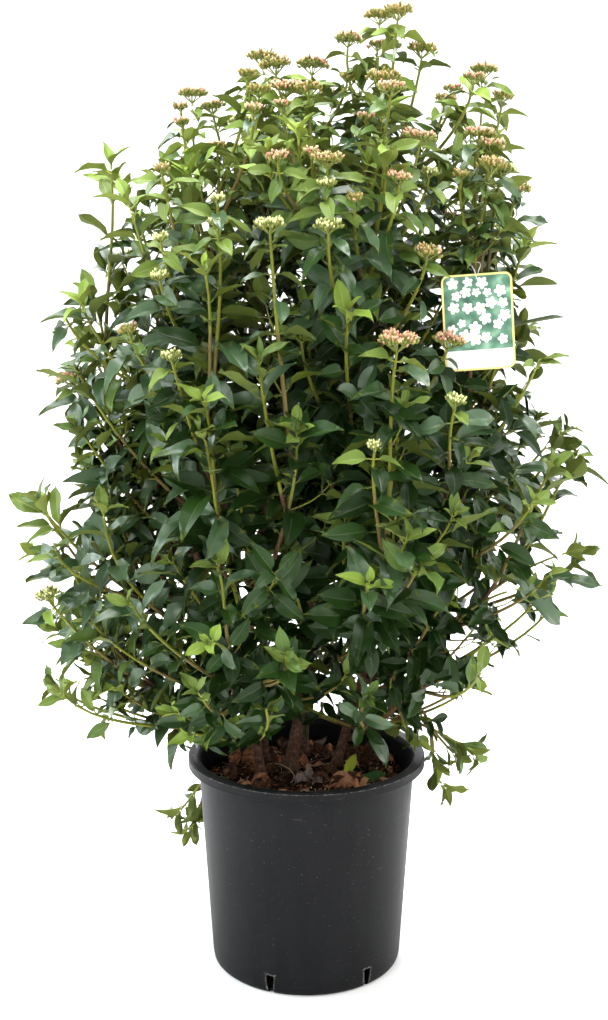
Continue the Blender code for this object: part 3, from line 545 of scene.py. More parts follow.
# %% [markdown]
# ## One leaf, many times
#
# A laurustinus leaf is a pointed oval, 4 to 7 cm long, folded a little along its pale midrib, with
# its tip curving down. The upper face is dark and glossy, the lower face light and dull. A template
# is made from two grids that share their rim: its rows slant forward as the side veins do, and every
# second row lies lower, which gives the quilted look. Several templates differ in fold and bend.

# %% Leaf templates
LEAF_ROWS = 6
UPPER_COLUMNS = (-1.0, -0.50, -0.05, 0.05, 0.50, 1.0)
LOWER_COLUMNS = (-1.0, -0.06, 0.06, 1.0)
LEAF_WIDTH = 0.435
RIB, TOP, UNDER, STALK = 0, 1, 2, 3


def leaf_half_width(share):
    """Half the width of a pointed oval along its length, widest a little below the middle."""
    return 0.5 * LEAF_WIDTH * sin(pi * min(max(share, 0.0), 1.0) ** 0.88) ** 0.88 * (1.08 - 0.20 * share)


def leaf_template(fold, droop, twist, wave):
    """Corner places, faces and the kind of each face, for a leaf one unit long."""
    work = bmesh.new()
    kind_layer = work.faces.layers.int.new("kind")
    for under, columns in ((False, UPPER_COLUMNS), (True, LOWER_COLUMNS)):
        strips = len(columns) - 1
        grid = bmesh.ops.create_grid(work, x_segments=LEAF_ROWS, y_segments=strips, size=0.5)["verts"]
        faces = list({face for vert in grid for face in vert.link_faces})
        for face in faces:
            strip = int((face.calc_center_median().y + 0.5) * strips)
            face[kind_layer] = RIB if strip == strips // 2 else (UNDER if under else TOP)
        for vert in grid:
            share = vert.co.x + 0.5
            column = columns[round((vert.co.y + 0.5) * strips)]
            across = column * leaf_half_width(share)
            along = share + 0.09 * abs(column) * sin(pi * share)
            inside = sin(pi * share) * (abs(column) < 0.9)
            lift = fold * abs(across) - droop * along ** 2
            lift += 0.05 * wave * abs(column) * sin(share * 9.0 + (1.0 if column > 0 else -1.0))
            if under:
                lift -= 0.026 * inside
            elif abs(column) < 0.1:
                lift -= 0.006 * inside
            else:
                lift += (0.005 + 0.008 * (-1) ** round(share * LEAF_ROWS)) * inside
            angle = twist * along
            vert.co = (along * (1.0 - 0.25 * droop), across * cos(angle) - lift * sin(angle),
                       across * sin(angle) + lift * cos(angle))
        if under:
            bmesh.ops.reverse_faces(work, faces=faces)
    bmesh.ops.remove_doubles(work, verts=work.verts, dist=0.0005)
    bmesh.ops.triangulate(work, faces=work.faces)
    work.verts.index_update()
    corners = np.array([vert.co[:] for vert in work.verts])
    faces = np.array([[vert.index for vert in face.verts] for face in work.faces])
    kinds = np.array([face[kind_layer] for face in work.faces])
    work.free()
    return corners, faces, kinds


draw = random.Random(7)
LEAVES = [leaf_template(fold=draw.uniform(0.25, 0.90), droop=0.06 + 0.62 * k / 19,
                        twist=draw.uniform(-0.8, 0.8), wave=draw.uniform(0.3, 1.7)) for k in range(20)]
print("a leaf has", len(LEAVES[0][1]), "triangles")

# %% [markdown]
# ## Leaf colours
#
# An old leaf is a dark bluish green, a young one a light yellow green, and each has a paler midrib and
# a dull lower face. Every tone has four plain finishes, for the midrib, the upper face, the lower
# face and the stalk. Tones are dealt out by shoot: darker inside the crown and low in front as painted
# shade, lighter and bluer towards the top and the left as painted light and sheen, and fresh at the young tips.

# %% Seven tones of green and a dry one
TONES = {
    "deep": ((0.0078, 0.0220, 0.0036), (0.044, 0.060, 0.007), (0.016, 0.032, 0.006), (0.060, 0.076, 0.010)),
    "dark": ((0.0150, 0.0400, 0.0066), (0.070, 0.092, 0.010), (0.034, 0.062, 0.011), (0.090, 0.112, 0.014)),
    "blue": ((0.0340, 0.0720, 0.0270), (0.086, 0.110, 0.024), (0.060, 0.105, 0.024), (0.120, 0.150, 0.020)),
    "mid": ((0.0660, 0.1150, 0.0220), (0.108, 0.134, 0.026), (0.098, 0.148, 0.016), (0.160, 0.190, 0.022)),
    "warm": ((0.1080, 0.1600, 0.0300), (0.150, 0.182, 0.036), (0.170, 0.220, 0.021), (0.235, 0.265, 0.028)),
    "fresh": ((0.1500, 0.2250, 0.0340), (0.195, 0.244, 0.046), (0.235, 0.300, 0.028), (0.285, 0.325, 0.038)),
    "tip": ((0.2200, 0.3080, 0.0450), (0.260, 0.318, 0.062), (0.315, 0.385, 0.046), (0.345, 0.390, 0.055)),
    "dry": ((0.1700, 0.1100, 0.0500), (0.200, 0.150, 0.070), (0.220, 0.160, 0.080), (0.220, 0.160, 0.080)),
}
TONE_NAMES = list(TONES)
SHEEN = {"blue": 0.48, "dark": 0.20, "mid": 0.20}
LEAF_MATERIALS = []
for tone_name, (top, under, rib, stalk) in TONES.items():
    young = tone_name in ("warm", "fresh", "tip", "dry")
    LEAF_MATERIALS.append(plain_material(f"midrib {tone_name}", rib, 0.5))
    LEAF_MATERIALS.append(plain_material(f"upper face {tone_name}", top, 0.42 if young else 0.33, SHEEN.get(tone_name, 0.13)))
    LEAF_MATERIALS.append(plain_material(f"lower face {tone_name}", under, 0.6, 0.12))
    LEAF_MATERIALS.append(plain_material(f"leaf stalk {tone_name}", stalk, 0.5))

# %% [markdown]
# ## What may not grow where
#
# The crown is an egg that stands on its narrow end. Shoots stay inside it, apart from the tips that
# are placed by hand. Nothing may grow through the pot, out of the box of the solids, or in front of
# the label card. Blades also keep apart from each other: a set of small cells notes where a blade is,
# and the next one turns aside or stays smaller.

# %% Tests for places
card_low, card_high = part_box("label_card")
BLADE_CELL = 0.0085
SIGHT_RISE, SIGHT_SLOPE, SIGHT_HALF_WIDTH, SIGHT_DIP = -0.030, 0.33, 0.145, 0.055
WINDOW_MIDDLE, WINDOW_RISE = 0.0, 0.045
# the gaps where sky shows in front view: middle and half size, across and up, in the plane of the stems
SKY_GAPS = [
    (0.170, 0.338, 0.026, 0.020), (0.275, 0.650, 0.016, 0.014), (0.197, 0.415, 0.022, 0.022),
    (0.191, 0.300, 0.014, 0.020), (0.262, 0.440, 0.022, 0.022),
    (-0.321, 0.550, 0.011, 0.009), (0.108, 0.318, 0.014, 0.010), (-0.239, 0.492, 0.012, 0.012),
    (-0.293, 0.371, 0.012, 0.011), (-0.300, 0.488, 0.009, 0.009),
    (0.254, 0.749, 0.018, 0.013), (0.245, 0.382, 0.024, 0.028), (-0.186, 0.815, 0.011, 0.011),
    (0.320, 0.395, 0.032, 0.032),
    (-0.255, 0.815, 0.010, 0.010), (-0.090, 1.031, 0.016, 0.009), (-0.125, 0.925, 0.014, 0.011),
    (0.113, 1.107, 0.012, 0.010), (0.165, 1.032, 0.010, 0.008), (0.037, 1.032, 0.009, 0.009),
    (-0.250, 0.865, 0.010, 0.012), (-0.190, 0.846, 0.012, 0.010),
    (0.107, 1.036, 0.012, 0.008), (0.066, 1.140, 0.009, 0.009), (0.021, 1.061, 0.010, 0.010),
    (-0.139, 1.055, 0.008, 0.014), (-0.197, 1.055, 0.028, 0.038), (0.300, 0.735, 0.016, 0.032),
    (0.230, 0.751, 0.007, 0.010), (-0.108, 0.874, 0.007, 0.009), (0.150, 1.090, 0.012, 0.022),
    (0.142, 1.061, 0.012, 0.011), (-0.294, 0.844, 0.010, 0.010),
    (0.283, 0.792, 0.016, 0.020), (0.262, 0.742, 0.010, 0.010), (-0.325, 0.700, 0.010, 0.010),
    (0.287, 0.658, 0.010, 0.010), (0.313, 0.574, 0.012, 0.012), (0.291, 0.521, 0.016, 0.016),
    (0.245, 0.479, 0.022, 0.021), (0.294, 0.434, 0.020, 0.015), (0.316, 0.470, 0.012, 0.010),
    (-0.280, 0.316, 0.018, 0.015), (-0.209, 0.283, 0.022, 0.015), (-0.237, 0.277, 0.017, 0.012),
    (0.165, 0.353, 0.015, 0.012), (0.207, 0.340, 0.015, 0.015), (0.214, 0.307, 0.017, 0.012),
    (-0.310, 0.648, 0.022, 0.039), (-0.346, 0.509, 0.011, 0.010), (0.291, 0.509, 0.012, 0.011),
    (0.245, 0.485, 0.011, 0.011), (0.259, 0.946, 0.011, 0.011), (0.282, 0.843, 0.011, 0.010),
    (-0.291, 0.785, 0.010, 0.010), (0.030, 1.119, 0.010, 0.007),
    (0.337, 0.599, 0.012, 0.016), (0.285, 0.739, 0.012, 0.011), (-0.213, 1.004, 0.010, 0.010),
    (-0.232, 0.311, 0.020, 0.010), (0.321, 0.551, 0.013, 0.010), (-0.304, 0.332, 0.011, 0.009),
    (0.243, 0.546, 0.020, 0.012), (0.198, 0.482, 0.015, 0.012), (-0.313, 0.701, 0.012, 0.012),
    (0.298, 0.569, 0.010, 0.009),
]


def crown_reach(height):
    above = height > CROWN_WAIST
    rise = CROWN_TOP - CROWN_WAIST if above else CROWN_WAIST - CROWN_FOOT
    share = min(abs(height - CROWN_WAIST) / rise, 1.0)
    return CROWN_REACH * (1.0 - share ** 2) ** (0.5 if above else 0.95)


def crown_depth(point):
    """0 in the middle of the crown and 1 at its surface."""
    return min(point.xy.length / max(crown_reach(min(max(point.z, 0.30), 1.16)), 0.05), 1.0)


def wall_radius(height):
    return BASE_RADIUS + (RIM_RADIUS - RIM_OVERHANG - BASE_RADIUS) * height / POT_HEIGHT


def cuts_pot(point):
    radius = point.xy.length
    if radius < BASE_RADIUS:
        return point.z < SOIL_LEVEL + 0.004
    return point.z < POT_HEIGHT + 0.003 and radius < RIM_RADIUS + 0.003


def hides_compost(point):
    """In front the leaves stay above the line of sight to the far rim, so that the compost shows."""
    line = POT_HEIGHT + SIGHT_RISE + SIGHT_SLOPE * (RIM_RADIUS - point.y)
    line -= SIGHT_DIP * (point.x / RIM_RADIUS) ** 2 - 0.05 * noise.noise(Vector((point.x * 14, point.y * 14, 5.0)))
    if point.y < -0.02:
        line += WINDOW_RISE * exp(-((point.x - WINDOW_MIDDLE) / 0.040) ** 2)
    return abs(point.x) < SIGHT_HALF_WIDTH and point.y < 0.05 and point.z < line


def fills_sky(point):
    """Whether a place stands, in front view, in a gap of the crown."""
    share = CAMERA_PLACE[1] / (CAMERA_PLACE[1] - point.y)
    x = CAMERA_PLACE[0] + (point.x - CAMERA_PLACE[0]) * share
    z = CAMERA_PLACE[2] + (point.z - CAMERA_PLACE[2]) * share
    return any(((x - gap[0]) / gap[2]) ** 2 + ((z - gap[1]) / gap[3]) ** 2 < 1.0 for gap in SKY_GAPS)


def hides_card(point):
    """In front of the card or through it. A head may stand before its lower left corner."""
    corner = point.x < card_low.x + 0.020 and point.z < card_low.z + 0.050 and point.y < card_low.y - 0.012
    return (card_low.x - 0.008 < point.x < card_high.x + 0.008 and point.y < card_high.y + 0.008
            and card_low.z - 0.006 < point.z < card_high.z + 0.016) and not corner


def allowed(point):
    inside = all(low - 0.004 < value < high + 0.004 for value, low, high in zip(point, cad_low, cad_high))
    return inside and not (cuts_pot(point) or hides_card(point) or hides_compost(point))


# %% [markdown]
# ## Gathering thousands of small parts
#
# One object for each of five thousand leaves would make the file slow. Their corners are gathered in
# arrays instead, and each zone of the crown becomes one mesh of leaves, one of shoots and one of
# flower heads. A slot number goes with each face, so that a mesh still holds many colours.

# %% Piles
class Pile:
    """Small parts that are gathered as arrays and joined into one mesh at the end."""

    def __init__(self):
        self.corners, self.faces, self.slots = [], [], []
        self.total = 0

    def add(self, corners, faces, slots):
        self.corners.append(corners)
        self.faces.append(faces + self.total)
        self.slots.append(np.full(len(faces), slots) if np.isscalar(slots) else slots)
        self.total += len(corners)

    def to_object(self, name, materials):
        corners = np.concatenate(self.corners)
        loops = np.concatenate([faces.ravel() for faces in self.faces])
        sizes = np.concatenate([np.full(len(faces), faces.shape[1]) for faces in self.faces])
        mesh = bpy.data.meshes.new(name)
        mesh.vertices.add(len(corners))
        mesh.vertices.foreach_set("co", corners.ravel())
        mesh.loops.add(len(loops))
        mesh.loops.foreach_set("vertex_index", loops)
        mesh.polygons.add(len(sizes))
        mesh.polygons.foreach_set("loop_start", np.concatenate(([0], np.cumsum(sizes)[:-1])))
        mesh.update(calc_edges=True)
        thing = object_from(name, mesh, materials)
        mesh.polygons.foreach_set("material_index", np.concatenate(self.slots))
        mesh.set_sharp_from_angle(angle=radians(125))
        mesh.update()
        return thing


def prism(points, radii, sides=3):
    """A thin rod of a few sides as arrays: corner places and four-cornered faces."""
    turn = (points[1] - points[0]).to_track_quat("Z", "X")
    corners, faces = [], []
    for k, (point, radius) in enumerate(zip(points, radii)):
        ahead = (points[min(k + 1, len(points) - 1)] - points[max(k - 1, 0)]).normalized()
        turn = (turn @ Vector((0, 0, 1))).rotation_difference(ahead) @ turn
        for side in range(sides):
            angle = 2 * pi * side / sides
            corners.append((point + turn @ Vector((cos(angle), sin(angle), 0.0)) * radius)[:])
    for k in range(len(points) - 1):
        for side in range(sides):
            after = (side + 1) % sides
            faces.append((k * sides + side, k * sides + after, (k + 1) * sides + after, (k + 1) * sides + side))
    return np.array(corners), np.array(faces)


# %% [markdown]
# ## Flower heads
#
# A head is flat on top, 2 to 5 cm wide. Rays spread from one point, and each carries a cluster of
# long buds: yellow-green calyces with salmon or tan tips. Each bud is a small icosphere, drawn out.

# %% Buds and their finishes
HEAD_MATERIALS = [
    plain_material("bud salmon", (0.53, 0.325, 0.200), 0.6),
    plain_material("bud rose", (0.44, 0.18, 0.125), 0.6),
    plain_material("bud tan", (0.38, 0.27, 0.105), 0.6),
    plain_material("bud cream", (0.50, 0.52, 0.22), 0.6),
    plain_material("calyx green", (0.150, 0.165, 0.022), 0.6),
    plain_material("calyx gold", (0.215, 0.165, 0.028), 0.6),
    plain_material("flower ray", (0.190, 0.220, 0.032), 0.6),
]
SALMON, ROSE, TAN, CREAM, GREEN, GOLD, RAY = range(7)
BUD_TIPS = {"pink": (SALMON, SALMON, SALMON, ROSE, ROSE, TAN), "tan": (SALMON, TAN, GOLD, GOLD, GREEN),
            "cream": (CREAM, CREAM, CREAM, GREEN)}


def bud_template():
    work = bmesh.new()
    bmesh.ops.create_icosphere(work, subdivisions=1, radius=0.5)
    bmesh.ops.scale(work, verts=work.verts, vec=(0.50, 0.50, 1.05))
    work.verts.index_update()
    corners = np.array([vert.co[:] for vert in work.verts])
    faces = np.array([[vert.index for vert in face.verts] for face in work.faces])
    low = np.array([face.calc_center_median().z < 0.02 for face in work.faces])
    work.free()
    return corners, faces, low


BUD = bud_template()


# %% [markdown]
# ## Growing by the rule
#
# The solids grow by a rule: opposite side twigs on a leader, each pair turned a quarter from the last,
# and opposite leaves on all of them. Here the same rule is carried further, with shorter steps from
# node to node, more shoots that spring from the limbs, and leaves of real size.

# %% The crown and its parts
ZONES = {"top": 0.95, "upper": 0.79, "middle": 0.63, "lower": 0.47, "skirt": -1.0}
TWIG_MATERIALS = [plain_material("shoot brown", (0.075, 0.040, 0.022), 0.65, 0.15),
                  plain_material("shoot tan", (0.150, 0.115, 0.032), 0.6, 0.2),
                  plain_material("shoot green", (0.145, 0.160, 0.017), 0.55, 0.2)]


class Crown:
    """All that grows, in piles by zone and kind, with the one random source of the plant."""

    def __init__(self, seed):
        self.chance = random.Random(seed)
        self.piles = {(kind, zone): Pile() for kind in ("leaves", "shoots", "flower_heads") for zone in ZONES}
        self.blades = set()
        self.leaf_count = 0
        self.head_count = 0

    def pile(self, kind, point):
        return self.piles[kind, next(zone for zone, floor in ZONES.items() if point.z > floor)]

    def cells(self, points):
        return {tuple(int(value // BLADE_CELL) for value in point) for point in points}

    def leaf(self, root, way, up, length, tone, arching):
        """Set a leaf on its stalk, turned a little aside or shortened until there is room for it."""
        chance = self.chance
        corners, faces, kinds = chance.choice(LEAVES[8:] if arching else LEAVES)
        roll = chance.gauss(0.0, 0.30)
        for size, turn in ((1.0, 0.0), (0.95, 0.4), (0.95, -0.4), (0.75, 0.2), (0.75, -0.2), (0.55, 0.0)):
            ahead = (Quaternion(up, turn) @ way).normalized()
            blade = root + ahead * 0.15 * length * size
            places = [blade + ahead * length * size * share for share in (0.3, 0.55, 0.8)]
            cells = self.cells(places)
            if not self.blades & cells and all(map(allowed, places + [blade + ahead * length * size])):
                if not any(map(fills_sky, places)):
                    break
        else:
            return
        self.blades |= cells
        side = up.cross(ahead).normalized()
        face = ahead.cross(side).normalized()
        turned = Matrix((ahead, side, face)).transposed() @ Matrix.Rotation(roll, 3, "X")
        placed = corners @ np.array(turned * (length * size)).T + np.array(blade)
        base = TONE_NAMES.index(tone) * 4
        pile = self.pile("leaves", root)
        pile.add(placed, faces, kinds + base)
        corners, faces = prism([root, blade + ahead * 0.003], [0.0012, 0.0007])
        pile.add(corners, faces, base + STALK)
        self.leaf_count += 1

    def pair(self, root, axis, turn, length, spread, tone, sag=0.08, arching=False):
        """Two opposite leaves at a node, at an angle of spread from the shoot and sagging a little."""
        side = axis.orthogonal().normalized()
        for half in (0.0, pi):
            out = Quaternion(axis, turn + half + self.chance.gauss(0, 0.12)) @ side
            angle = spread + self.chance.gauss(0, 0.20)
            way = (axis * cos(angle) + out * sin(angle) + Vector((0, 0, -sag))).normalized()
            up = (axis - way * axis.dot(way)).normalized()
            self.leaf(root, way, up, length * self.chance.uniform(0.82, 1.12), tone, arching)

    def rod(self, points, radii, slots, sides=4):
        corners, faces = prism(points, radii, sides)
        self.pile("shoots", points[-1]).add(corners, faces, np.repeat(slots, sides))

    def tuft(self, root, axis, turn):
        """The youngest leaves at a growing tip, small and nearly upright."""
        # painted light from above: tufts higher than 0.80 m get lighter tones
        high = root.z > 0.80
        tone = self.chance.choice(("warm", "fresh", "fresh", "tip") if high else ("mid", "warm", "warm", "fresh"))
        last = "tip" if high else "warm"
        for k, (length, tone) in enumerate(((0.036, tone), (0.026, tone), (0.015, last))):
            self.pair(root + axis * (0.005 * k), axis, turn + pi / 2 * k, length * (1.15 if high else 0.9),
                      0.60 - 0.17 * k, tone)

    def head(self, root, axis, radius, mix):
        """A flat-topped head: rays from one point, and on each a cluster of buds on their own stalks."""
        chance = self.chance
        up = (axis + Vector((0, 0, 0.8))).normalized()
        turn = up.to_track_quat("Z", "X")
        hub = root + up * 0.003
        pile = self.pile("flower_heads", hub)
        pile.add(*prism([root, hub], [0.0014, 0.0012]), RAY)
        count = max(int(14 * (radius / 0.017) ** 2), 5)
        for k in range(8):
            angle = 2 * pi * k / 7 + chance.uniform(-0.2, 0.2)
            reach = radius * chance.uniform(0.56, 0.74) if k else 0.0
            height = radius * chance.uniform(0.46, 0.60)
            end = hub + turn @ Vector((cos(angle) * reach, sin(angle) * reach, height))
            pile.add(*prism([hub, end], [0.0010, 0.0007]), RAY)
            for n in range(count):
                share = sqrt((n + 0.5) / count)
                bearing = angle + n * 2.39996
                wide = radius * 0.37 * share
                place = end + turn @ Vector((cos(bearing) * wide, sin(bearing) * wide,
                                             radius * (0.42 - 0.34 * share ** 2) + chance.gauss(0, 0.0010)))
                pile.add(*prism([end, place], [0.0005, 0.0004]), RAY)
                lean = (place - (hub - up * radius * 0.6)).to_track_quat("Z", "X").to_matrix()
                corners, faces, low = BUD
                placed = corners @ np.array(lean * chance.uniform(0.0048, 0.0066)).T + np.array(place)
                calyx = GOLD if mix == "tan" and n % 2 else GREEN
                outside = (place - hub).dot(up) < radius * 0.78 and chance.random() < 0.7
                pile.add(placed, faces, np.where(low, calyx, calyx if outside else chance.choice(BUD_TIPS[mix])))
        self.head_count += 1


def pick_tone(chance, root, left, young):
    """A tone for a pair of leaves: painted shade deep in the crown and low in front, painted light higher up and on the
    left, and fresher at the young tips.
    """
    if chance.random() < 0.0005:
        return "dry"
    # painted shade: darker low in the middle front, below 0.95 m
    shade = exp(-(root.x / 0.20) ** 2) * min(max((0.95 - root.z) / 0.15, 0.0), 1.0)
    # darker deep in the crown is painted shade; lighter near the young tips is their own colour
    value = 0.10 + 1.9 * crown_depth(root) + 1.7 * young * exp(-left / 0.05) - 1.0 * shade
    # painted light from above: lighter higher up
    value += 3.1 * max(root.z - 0.80, 0.0) / 0.30
    # painted light: lighter still at the top left
    if root.z > 0.88:
        value += 1.2 * min(max((0.05 - root.x) / 0.15, 0.0), 1.0)
    # painted sheen: the bluish tone more often on the left, under the cool left light
    elif chance.random() < 0.36 * min(max((-0.06 - root.x) / 0.12, 0.0), 1.0):
        return "blue"
    # painted light from the left: lighter on the lower left
    if root.z < 0.80:
        value += 2.2 * max(-0.11 - root.x, 0.0) / 0.20
    # painted light: no dark tones at the very top
    darkest = 2 if root.z > 0.93 else 0
    return TONE_NAMES[int(min(max(value + chance.gauss(0, 0.80), darkest), 5))]


# %% Side twigs and shoots
def leaf_growth(root):
    """Leaves round the waist of the crown are the larger ones."""
    low = min(max((0.54 - root.z) / 0.12, 0.0), 1.0)
    return 1.0 + 0.20 * min(max((0.88 - root.z) / 0.15, 0.0), 1.0) * (1.0 - low) - 0.12 * low


def side_twig(crown, root, way, lift, length, leaf_length, depth):
    """A bent twig with opposite leaves and a pair at its end."""
    chance = crown.chance
    for size in (1.0, 0.75, 0.5):
        reach = length * size
        elbow = root + way * reach * 0.5
        tip = elbow + (way + lift).normalized() * reach * 0.5
        if allowed(tip) and allowed(elbow) and tip.xy.length < crown_reach(tip.z) * 0.95:
            break
    else:
        return
    points = curved_path(root, way, tip, way + lift * 1.4, 4)
    crown.rod(points, [(0.0011 + 0.006 * reach) * (1 - 0.13 * k) for k in range(5)], [1, 2, 2, 2], 3)
    tone = pick_tone(chance, root, 0.1, 0.5)
    nodes = max(int(reach / 0.030), 1)
    leaf_length *= leaf_growth(root)
    turn = chance.uniform(0, pi)
    for node in range(1, nodes + 1):
        place, axis = point_along(points, reach * node / (nodes + 0.35))
        turn += pi / 2
        crown.pair(place, axis, turn, leaf_length * (1.05 - 0.22 * node / nodes), 1.0, tone)
    place, axis = point_along(points, reach)
    if depth > 0.85 and chance.random() < 0.35:
        crown.tuft(place, axis, turn + pi / 2)
    else:
        crown.pair(place, axis, turn + pi / 2, leaf_length * 0.72, 0.7, tone)


def clothe(crown, points, bare, spacing, twig_length, twig_share, ending, head_radius=0.017):
    """Leaves and side twigs on a shoot from where it is no longer bare, and what ends it."""
    chance = crown.chance
    whole = path_length(points)
    place = bare
    turn = chance.uniform(0, pi)
    young = {"leafy": 1.0, "pink": 0.25, "tan": 0.25, "cream": 0.35}[ending]
    while place < whole - 0.010:
        root, axis = point_along(points, place)
        left = whole - place
        depth = crown_depth(root)
        turn += pi / 2
        side = axis.orthogonal().normalized()
        for half in (0.0, pi):
            if left > 0.075 and chance.random() < twig_share:
                out = Quaternion(axis, turn + half) @ side
                spread = chance.uniform(0.70, 1.0)
                reach = twig_length * min(left / 0.20, 1.0) * chance.uniform(0.7, 1.1)
                side_twig(crown, root, (axis * cos(spread) + out * sin(spread)).normalized(),
                          axis * 0.5 + Vector((0, 0, 0.5)), reach, chance.uniform(0.040, 0.053), depth)
        length = chance.uniform(0.040, 0.057) if left > 0.07 else chance.uniform(0.034, 0.047)
        length *= leaf_growth(root)
        tone = pick_tone(chance, root, left, young)
        if ending == "leafy":
            crown.pair(root + axis * 0.003, axis, turn + pi / 2, length, 0.92 if left > 0.05 else 0.66,
                       tone, chance.uniform(0.0, 0.30) * min(left / 0.08, 1.0))
        else:
            crown.pair(root + axis * 0.003, axis, turn + pi / 2, length * 0.92, 1.05, tone,
                       chance.uniform(0.0, 0.35), arching=True)
        place += spacing * chance.uniform(0.85, 1.15) * min(0.50 + 5.0 * left, 1.0)
    end, axis = point_along(points, whole)
    if ending == "leafy":
        crown.tuft(end, axis, turn)
    else:
        crown.head(end - axis * 0.002, axis, head_radius, ending)
        crown.pair(end - axis * 0.009, axis, turn, 0.034, 1.10, chance.choice(("mid", "warm", "warm", "blue")),
                   0.2, arching=True)


# %% [markdown]
# ## Leaders first
#
# The 26 paths of the solids come first. Leaders that end in leaves are named, the rest of the two
# upper rings end in flower heads. Their lower stretch inside the crown is bare, as on the real plant.

# %% Leaves on the leaders
PLAN = {
    "top": dict(bare=0.30, spacing=0.036, twig=0.100),
    "upper": dict(bare=0.20, spacing=0.036, twig=0.110),
    "middle": dict(bare=0.12, spacing=0.036, twig=0.115),
    "lower": dict(bare=0.08, spacing=0.035, twig=0.110),
    "skirt": dict(bare=0.05, spacing=0.034, twig=0.080),
}
LEADER_TWIG_SHARE = 0.55
LEAFY_LEADERS = ("upper_1", "upper_2", "upper_3", "upper_5")

crown = Crown("laurustinus")
for name, path in paths.items():
    ring_name = name.split("_")[0]
    flowering = name == "middle_1" or (ring_name in ("top", "upper") and name not in LEAFY_LEADERS)
    ending = crown.chance.choice(("pink", "tan")) if flowering else "leafy"
    plan = PLAN[ring_name]
    points = path["points"]
    if flowering:
        points = points + [points[-1] + (points[-1] - points[-2]).normalized() * (TIP_REACH[ring_name] - 0.020)]
    clothe(crown, points, plan["bare"], plan["spacing"], plan["twig"], LEADER_TWIG_SHARE, ending)
print("on the leaders:", crown.leaf_count, "leaves")

# %% [markdown]
# ## Shoots that spring from the limbs
#
# The crown is a crowd of upright shoots, each 15 to 25 cm long, whose tips make its outline. The
# tips in front are listed. The rest of the crown is filled by a rule: tips wind round four
# egg-shaped shells in even steps. A shoot starts on the limb that passes nearest to the place from
# which it would grow up and outwards, so that it hangs together with the wood from any side.

# %% Tips of the shoots
HEAD_TIPS = {
    "pink": [
        (0.051, 0.015, 1.151, 0.016), (0.086, 0.030, 1.145, 0.012), (0.089, -0.190, 1.071, 0.016),
        (0.065, -0.150, 1.044, 0.011), (0.007, 0.058, 1.128, 0.020), (-0.024, -0.100, 1.083, 0.017),
        (-0.058, -0.170, 1.051, 0.010), (-0.027, -0.140, 1.059, 0.010), (-0.115, 0.020, 1.074, 0.015),
        (-0.143, -0.080, 1.045, 0.010), (-0.030, -0.247, 0.997, 0.013), (0.005, -0.230, 1.001, 0.009),
        (0.121, -0.187, 1.022, 0.017), (0.190, -0.140, 1.029, 0.017), (0.203, -0.150, 1.016, 0.015),
        (0.187, -0.100, 1.092, 0.013), (0.173, -0.021, 1.088, 0.012), (0.096, -0.243, 0.976, 0.013),
        (0.093, -0.301, 0.814, 0.020), (0.155, -0.205, 0.809, 0.018),
        (-0.269, -0.150, 0.832, 0.007),
    ],
    "tan": [
        (0.104, -0.067, 1.169, 0.017), (0.133, -0.055, 1.130, 0.017), (-0.039, -0.019, 1.118, 0.019),
        (-0.068, -0.100, 1.096, 0.011), (0.085, -0.120, 1.091, 0.018), (0.049, -0.020, 1.101, 0.010),
        (-0.054, -0.120, 1.077, 0.014), (-0.149, -0.020, 1.068, 0.009), (-0.101, -0.120, 1.016, 0.011),
        (0.002, -0.120, 1.079, 0.016), (-0.154, -0.203, 0.986, 0.009), (0.021, -0.244, 0.995, 0.016),
        (0.049, -0.250, 0.954, 0.009), (0.159, -0.060, 1.073, 0.013), (0.241, 0.062, 1.090, 0.013),
        (0.168, -0.170, 0.982, 0.009), (-0.187, -0.250, 0.821, 0.011),
    ],
    "cream": [
        (0.020, -0.260, 0.969, 0.011), (0.216, -0.140, 0.991, 0.015), (0.132, -0.180, 0.984, 0.010),
        (-0.066, -0.264, 0.943, 0.018), (-0.038, -0.277, 0.928, 0.015), (0.022, -0.279, 0.927, 0.014),
        (0.174, -0.200, 0.907, 0.010), (-0.093, -0.240, 0.953, 0.008), (-0.093, -0.250, 0.930, 0.011),
        (-0.152, -0.250, 0.914, 0.009), (-0.139, -0.288, 0.796, 0.011), (0.154, -0.290, 0.751, 0.011),
        (0.068, -0.329, 0.708, 0.008), (-0.299, -0.167, 0.519, 0.014), (-0.153, -0.260, 0.876, 0.010),
    ],
}
